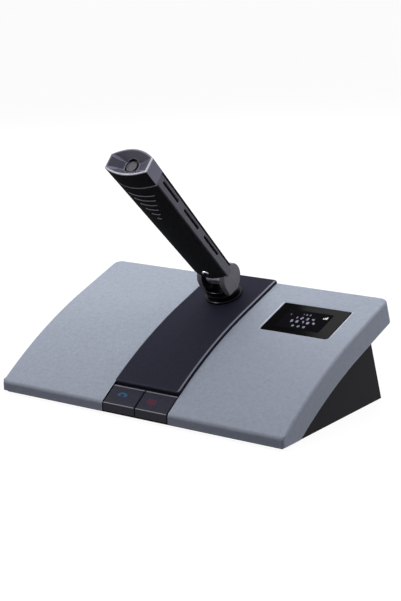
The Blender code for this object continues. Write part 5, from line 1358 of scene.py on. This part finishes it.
def make_cap():
    """The head's cap: a rounded rim, facets that fall to a floor, a ring pit in it, and the grille."""
    top = ARM_LENGTH
    loops = [joined(cap_ring(CAP_START, 0.0), CAP_START)]
    steps = 5
    for step in range(steps + 1):
        angle = step / steps * math.pi / 2
        inset = CAP_EDGE * (1 - math.cos(angle))
        loops.append(joined(cap_ring(top, inset), top - CAP_EDGE * (1 - math.sin(angle))))
    floor = top - RECESS_DEPTH
    half_x, half_n = FACET_FLOOR_WIDTH / 2, FACET_FLOOR_DEPTH / 2
    signs = ((-1, -1), (1, -1), (1, 1), (-1, 1))
    corners = [(x * half_x, RECESS_MIDDLE + n * half_n) for x, n in signs]
    rim = cap_ring(top, CAP_RIM)
    low = []
    for index, side in enumerate(rim):
        low += between(corners[index], corners[(index + 1) % len(corners)], len(side) - 1)[:-1]
    rim_loop = joined(rim, top)
    for row in range(RECESS_ROWS + 1):
        share = row / RECESS_ROWS
        loops.append([Vector(start).lerp((*end, floor), share) for start, end in zip(rim_loop, low)])
    cap = solid("head_cap_fine", loft(loops), arm)
    cavity = [joined(cap_ring(s, ARM_WALL), s) for s in (CAP_START - OVERRUN, CAP_CAVITY_TOP)]
    cut(cap, loft(cavity), arm)
    pit = circle(RING_PIT_RADIUS, RIM_STEPS, (0.0, RECESS_MIDDLE))
    cut(cap, column(pit, (floor - RING_PIT_DEPTH, floor + RING_PIT_TOP)), arm)
    socket = circle(GRILLE_RADIUS + GAP, RIM_STEPS, (0.0, RECESS_MIDDLE))
    cut(cap, column(socket, (floor - GRILLE_SOCKET, floor + GAP)), arm)
    dress(cap, CAP, "arm", ["head_cap"], smooth=FACET_ANGLE, flats=False)
    edge = top - CAP_EDGE - HAIR
    tone(cap, ARM, arm, lambda place, normal: place.z < edge and abs(normal.y) > FACING)
    tone(cap, CAP_SIDE, arm, lambda place, normal: place.z < edge and abs(normal.x) > FACING)
    # Painted light by side on the cap's rim: a painted highlight at the front, a brighter one on the right
    # side and painted shade at the back.
    for material, side in ((REAR_RIM, (0, 1)), (FRONT_RIM_HIGHLIGHT, (0, -1)), (SIDE_RIM_HIGHLIGHT, (1, 0))):

        def on_side(place, normal):
            return place.z > edge and normal.z > HARDLY and in_rim(place, side)

        tone(cap, material, arm, on_side)
    # Painted highlight: the two left ridges between the facets are painted light.
    tone(cap, RIDGE_HIGHLIGHT, arm, lambda place, normal: on_ridge(place, floor))
    # Painted shade: the floor and walls of the ring pit round the grille are painted dark.
    tone(cap, PAINTED_SHADE, arm, lambda place, normal: in_pit(place))

    high, foot = floor + GRILLE_PROUD, floor - GRILLE_SOCKET + GAP
    rim, dish = GRILLE_RADIUS - GRILLE_RIM, high - GRILLE_DISH
    profile = [(HAIR, foot), (GRILLE_RADIUS, foot), (GRILLE_RADIUS, high), (rim, high)]
    profile += [(rim - GRILLE_DISH, dish), (HAIR, dish)]
    profile = rounded(profile, [0, 0, GRILLE_DISH, GRILLE_DISH, 0, 0])
    place = arm @ Matrix.Translation((0.0, RECESS_MIDDLE, 0.0))
    button = solid("capsule_grille_fine", turned(profile, RIM_STEPS), place)
    dress(button, GRILLE, "arm", ["capsule_grille"])


def make_arm_screw():
    """A domed screw with a hexagon socket, in its well in the front shell."""
    seat = arm_face(ARM_SCREW_S, 0.0, 0.0, False) - ARM_SCREW_SINK + GAP
    dome = seat + ARM_SCREW_HEAD
    rise = ARM_SCREW_HEAD - ARM_SCREW_EDGE
    head, shank, middle = ARM_SCREW_HEAD_RADIUS, ARM_SCREW_SHANK, (0.0, ARM_SCREW_S)
    profile = [(shank, NECK_FRONT - ARM_SCREW_BITE), (shank, seat), (head, seat)]
    profile += arc_path(head, rise, 0.0, ARM_SCREW_DOME, (0.0, seat + ARM_SCREW_EDGE), steps=8)
    loops = [[(x, -n, s) for x, s in circle(radius, SMALL_STEPS, middle)] for radius, n in profile]
    screw = solid("arm_screw_fine", loft(loops), arm)
    hexagon = circle(ARM_SCREW_SOCKET, 6, middle)
    cut(screw, bore(hexagon, (-dome - OVERRUN, ARM_SCREW_SOCKET_DEPTH - dome)), arm)
    dress(screw, CHROME, "arm", ["arm_screw"])

    def in_shaded_socket(place, normal):
        return math.hypot(place.x, place.z - ARM_SCREW_S) < ARM_SCREW_SOCKET

    # Painted shade: the hexagon socket in the chrome screw is painted in the polished black.
    tone(screw, GLOSS, arm, in_shaded_socket)


# Finishes of the solids that keep their shape

CARRIED = {
    HOUSING: ("lower_housing", "battery_hatch", "left_brake_washer", "right_brake_washer"),
    RUBBER: ("front_left_foot", "front_right_foot", "rear_left_foot", "rear_right_foot", "capsule_sleeve"),
    STEEL: (
        "case_front_left_screw", "case_front_right_screw", "case_rear_left_screw", "case_rear_right_screw",
        "hatch_screw", "radio_module", "charging_pin", "swivel_nut", "hinge_pin",
        "left_cheek_screw", "right_cheek_screw", "mic_capsule",
    ),
    GLOSS: ("power_switch", "charging_socket", "left_switch", "right_switch"),
    KEY_FRONT: ("power_knob",),
    NYLON: ("swivel_washer",),
    BOARD: ("main_board", "key_board", "arm_board"),
    SLEEVE: ("battery_pack",),
    SCREEN: ("display_module",),
    CLOTH: ("left_slot_mesh", "right_slot_mesh"),
}


def finish_carried():
    """Gives the solids that keep their shape their finish."""
    for material, names in CARRIED.items():
        for name in names:
            node = frame["nodes"][name]
            node.data.materials.clear()
            node.data.materials.append(material)


# Floor, light and camera

PHOTO_SIZE = (401, 601)
FOCAL_PIXELS = 1635.747
SENSOR_WIDTH = 36.0
CAMERA_TURN = 35.77 * DEG
CAMERA_RISE = 14.14 * DEG
CAMERA_ROLL = -1.121 * DEG
CAMERA_AIM = Vector((-0.071267, 0.108024, 0.025))
CAMERA_REACH = 1.089439

FLOOR_SIZE = 6.0
FLOOR_COLOUR = (0.08, 0.08, 0.085)
FLOOR_SEEN = (0.12, 0.12, 0.12)
FLOOR_GLOW = 0.93
AMBIENT = (0.30, 0.29, 0.33)
WHITE = (1.0, 1.0, 1.0)

# Name, turn and rise in degrees, reach and size in metres, strength, and the rays that don't see it
LAMPS = (
    ("rear_softbox", 240.0, 54.0, 0.8, 1.2, 1.75, "glossy"),
    ("right_softbox", 125.0, 24.0, 0.9, 0.5, 0.30, "glossy"),
    ("window_card", 217.5, 49.0, 0.914, 0.06, 0.014, "diffuse"),
    ("front_highlight", 324.0, 40.0, 0.9, 0.25, 2.4, "diffuse"),
)


def seen_directly(tree):
    """1 for rays from the camera, a mirror or a pane, and 0 for rays of bounced light."""
    rays = add(tree, "LightPath").outputs
    seen = math_node(tree, "MAXIMUM", rays["Is Camera Ray"], rays["Is Glossy Ray"])
    return math_node(tree, "MAXIMUM", seen, rays["Is Transmission Ray"])


def towards(turn, rise):
    """The direction at this turn from the front and this rise above the desk."""
    return Vector((math.sin(turn) * math.cos(rise), -math.cos(turn) * math.cos(rise), math.sin(rise)))


def make_floor():
    """A pale floor that looks white and throws little light back."""
    size = FLOOR_SIZE
    bm = bmesh.new()
    corners = ((-size, -size), (size, -size), (size, size), (-size, size))
    bm.faces.new([bm.verts.new((x, y, -HAIR)) for x, y in corners])
    floor = solid("floor", bm)
    material, tree, shader = new_material("pale_floor")
    seen = seen_directly(tree)
    fill(tree, shader, {
        "Base Color": blended(tree, seen, FLOOR_COLOUR, FLOOR_SEEN),
        "Roughness": 0.9,
        "Specular IOR Level": 0.0,
        "Emission Color": (*WHITE, 1.0),
        "Emission Strength": math_node(tree, "MULTIPLY", seen, FLOOR_GLOW),
    })
    floor.data.materials.append(material)


def make_world():
    """White where it is seen, and dimmer where it only lights."""
    world = bpy.data.worlds.new("studio")
    bpy.context.scene.world = world
    world.use_nodes = True
    tree = world.node_tree
    fill(tree, tree.nodes["Background"], {"Color": blended(tree, seen_directly(tree), AMBIENT, WHITE)})


def make_lamps():
    """Square lamps, each as bright as written on a face square to it at the object."""
    for name, turn, rise, reach, size, strength, blind in LAMPS:
        data = bpy.data.lights.new(name, "AREA")
        data.size = size
        data.energy = strength * (math.pi * reach) ** 2
        lamp = into_scene(name, data)
        direction = towards(turn * DEG, rise * DEG)
        lamp.location = direction * reach
        lamp.rotation_mode = "QUATERNION"
        lamp.rotation_quaternion = direction.to_track_quat("Z", "Y")
        lamp.visible_glossy = blind != "glossy"
        lamp.visible_diffuse = blind != "diffuse"


def make_camera():
    """The photograph's camera."""
    data = bpy.data.cameras.new("photo_camera")
    data.sensor_width = SENSOR_WIDTH
    data.lens = FOCAL_PIXELS / PHOTO_SIZE[1] * data.sensor_width
    camera = into_scene("photo_camera", data)
    back = towards(CAMERA_TURN, CAMERA_RISE)
    level = Vector((math.cos(CAMERA_TURN), math.sin(CAMERA_TURN), 0.0))
    up = back.cross(level)
    right = level * math.cos(CAMERA_ROLL) + up * math.sin(CAMERA_ROLL)
    top = up * math.cos(CAMERA_ROLL) - level * math.sin(CAMERA_ROLL)
    place = Matrix((right, top, back)).transposed().to_4x4()
    place.translation = CAMERA_AIM + back * CAMERA_REACH
    camera.matrix_world = place
    bpy.context.scene.camera = camera


make_camera()
make_world()
make_floor()
make_lamps()
make_cover()
make_panel()
make_keys()
make_fascia()
make_key_icons()
make_display()
make_swivel()
make_fork()
make_knuckle()
make_shells()
make_strips()
make_cap()
make_arm_screw()
finish_carried()
bpy.context.scene.view_settings.view_transform = "Standard"
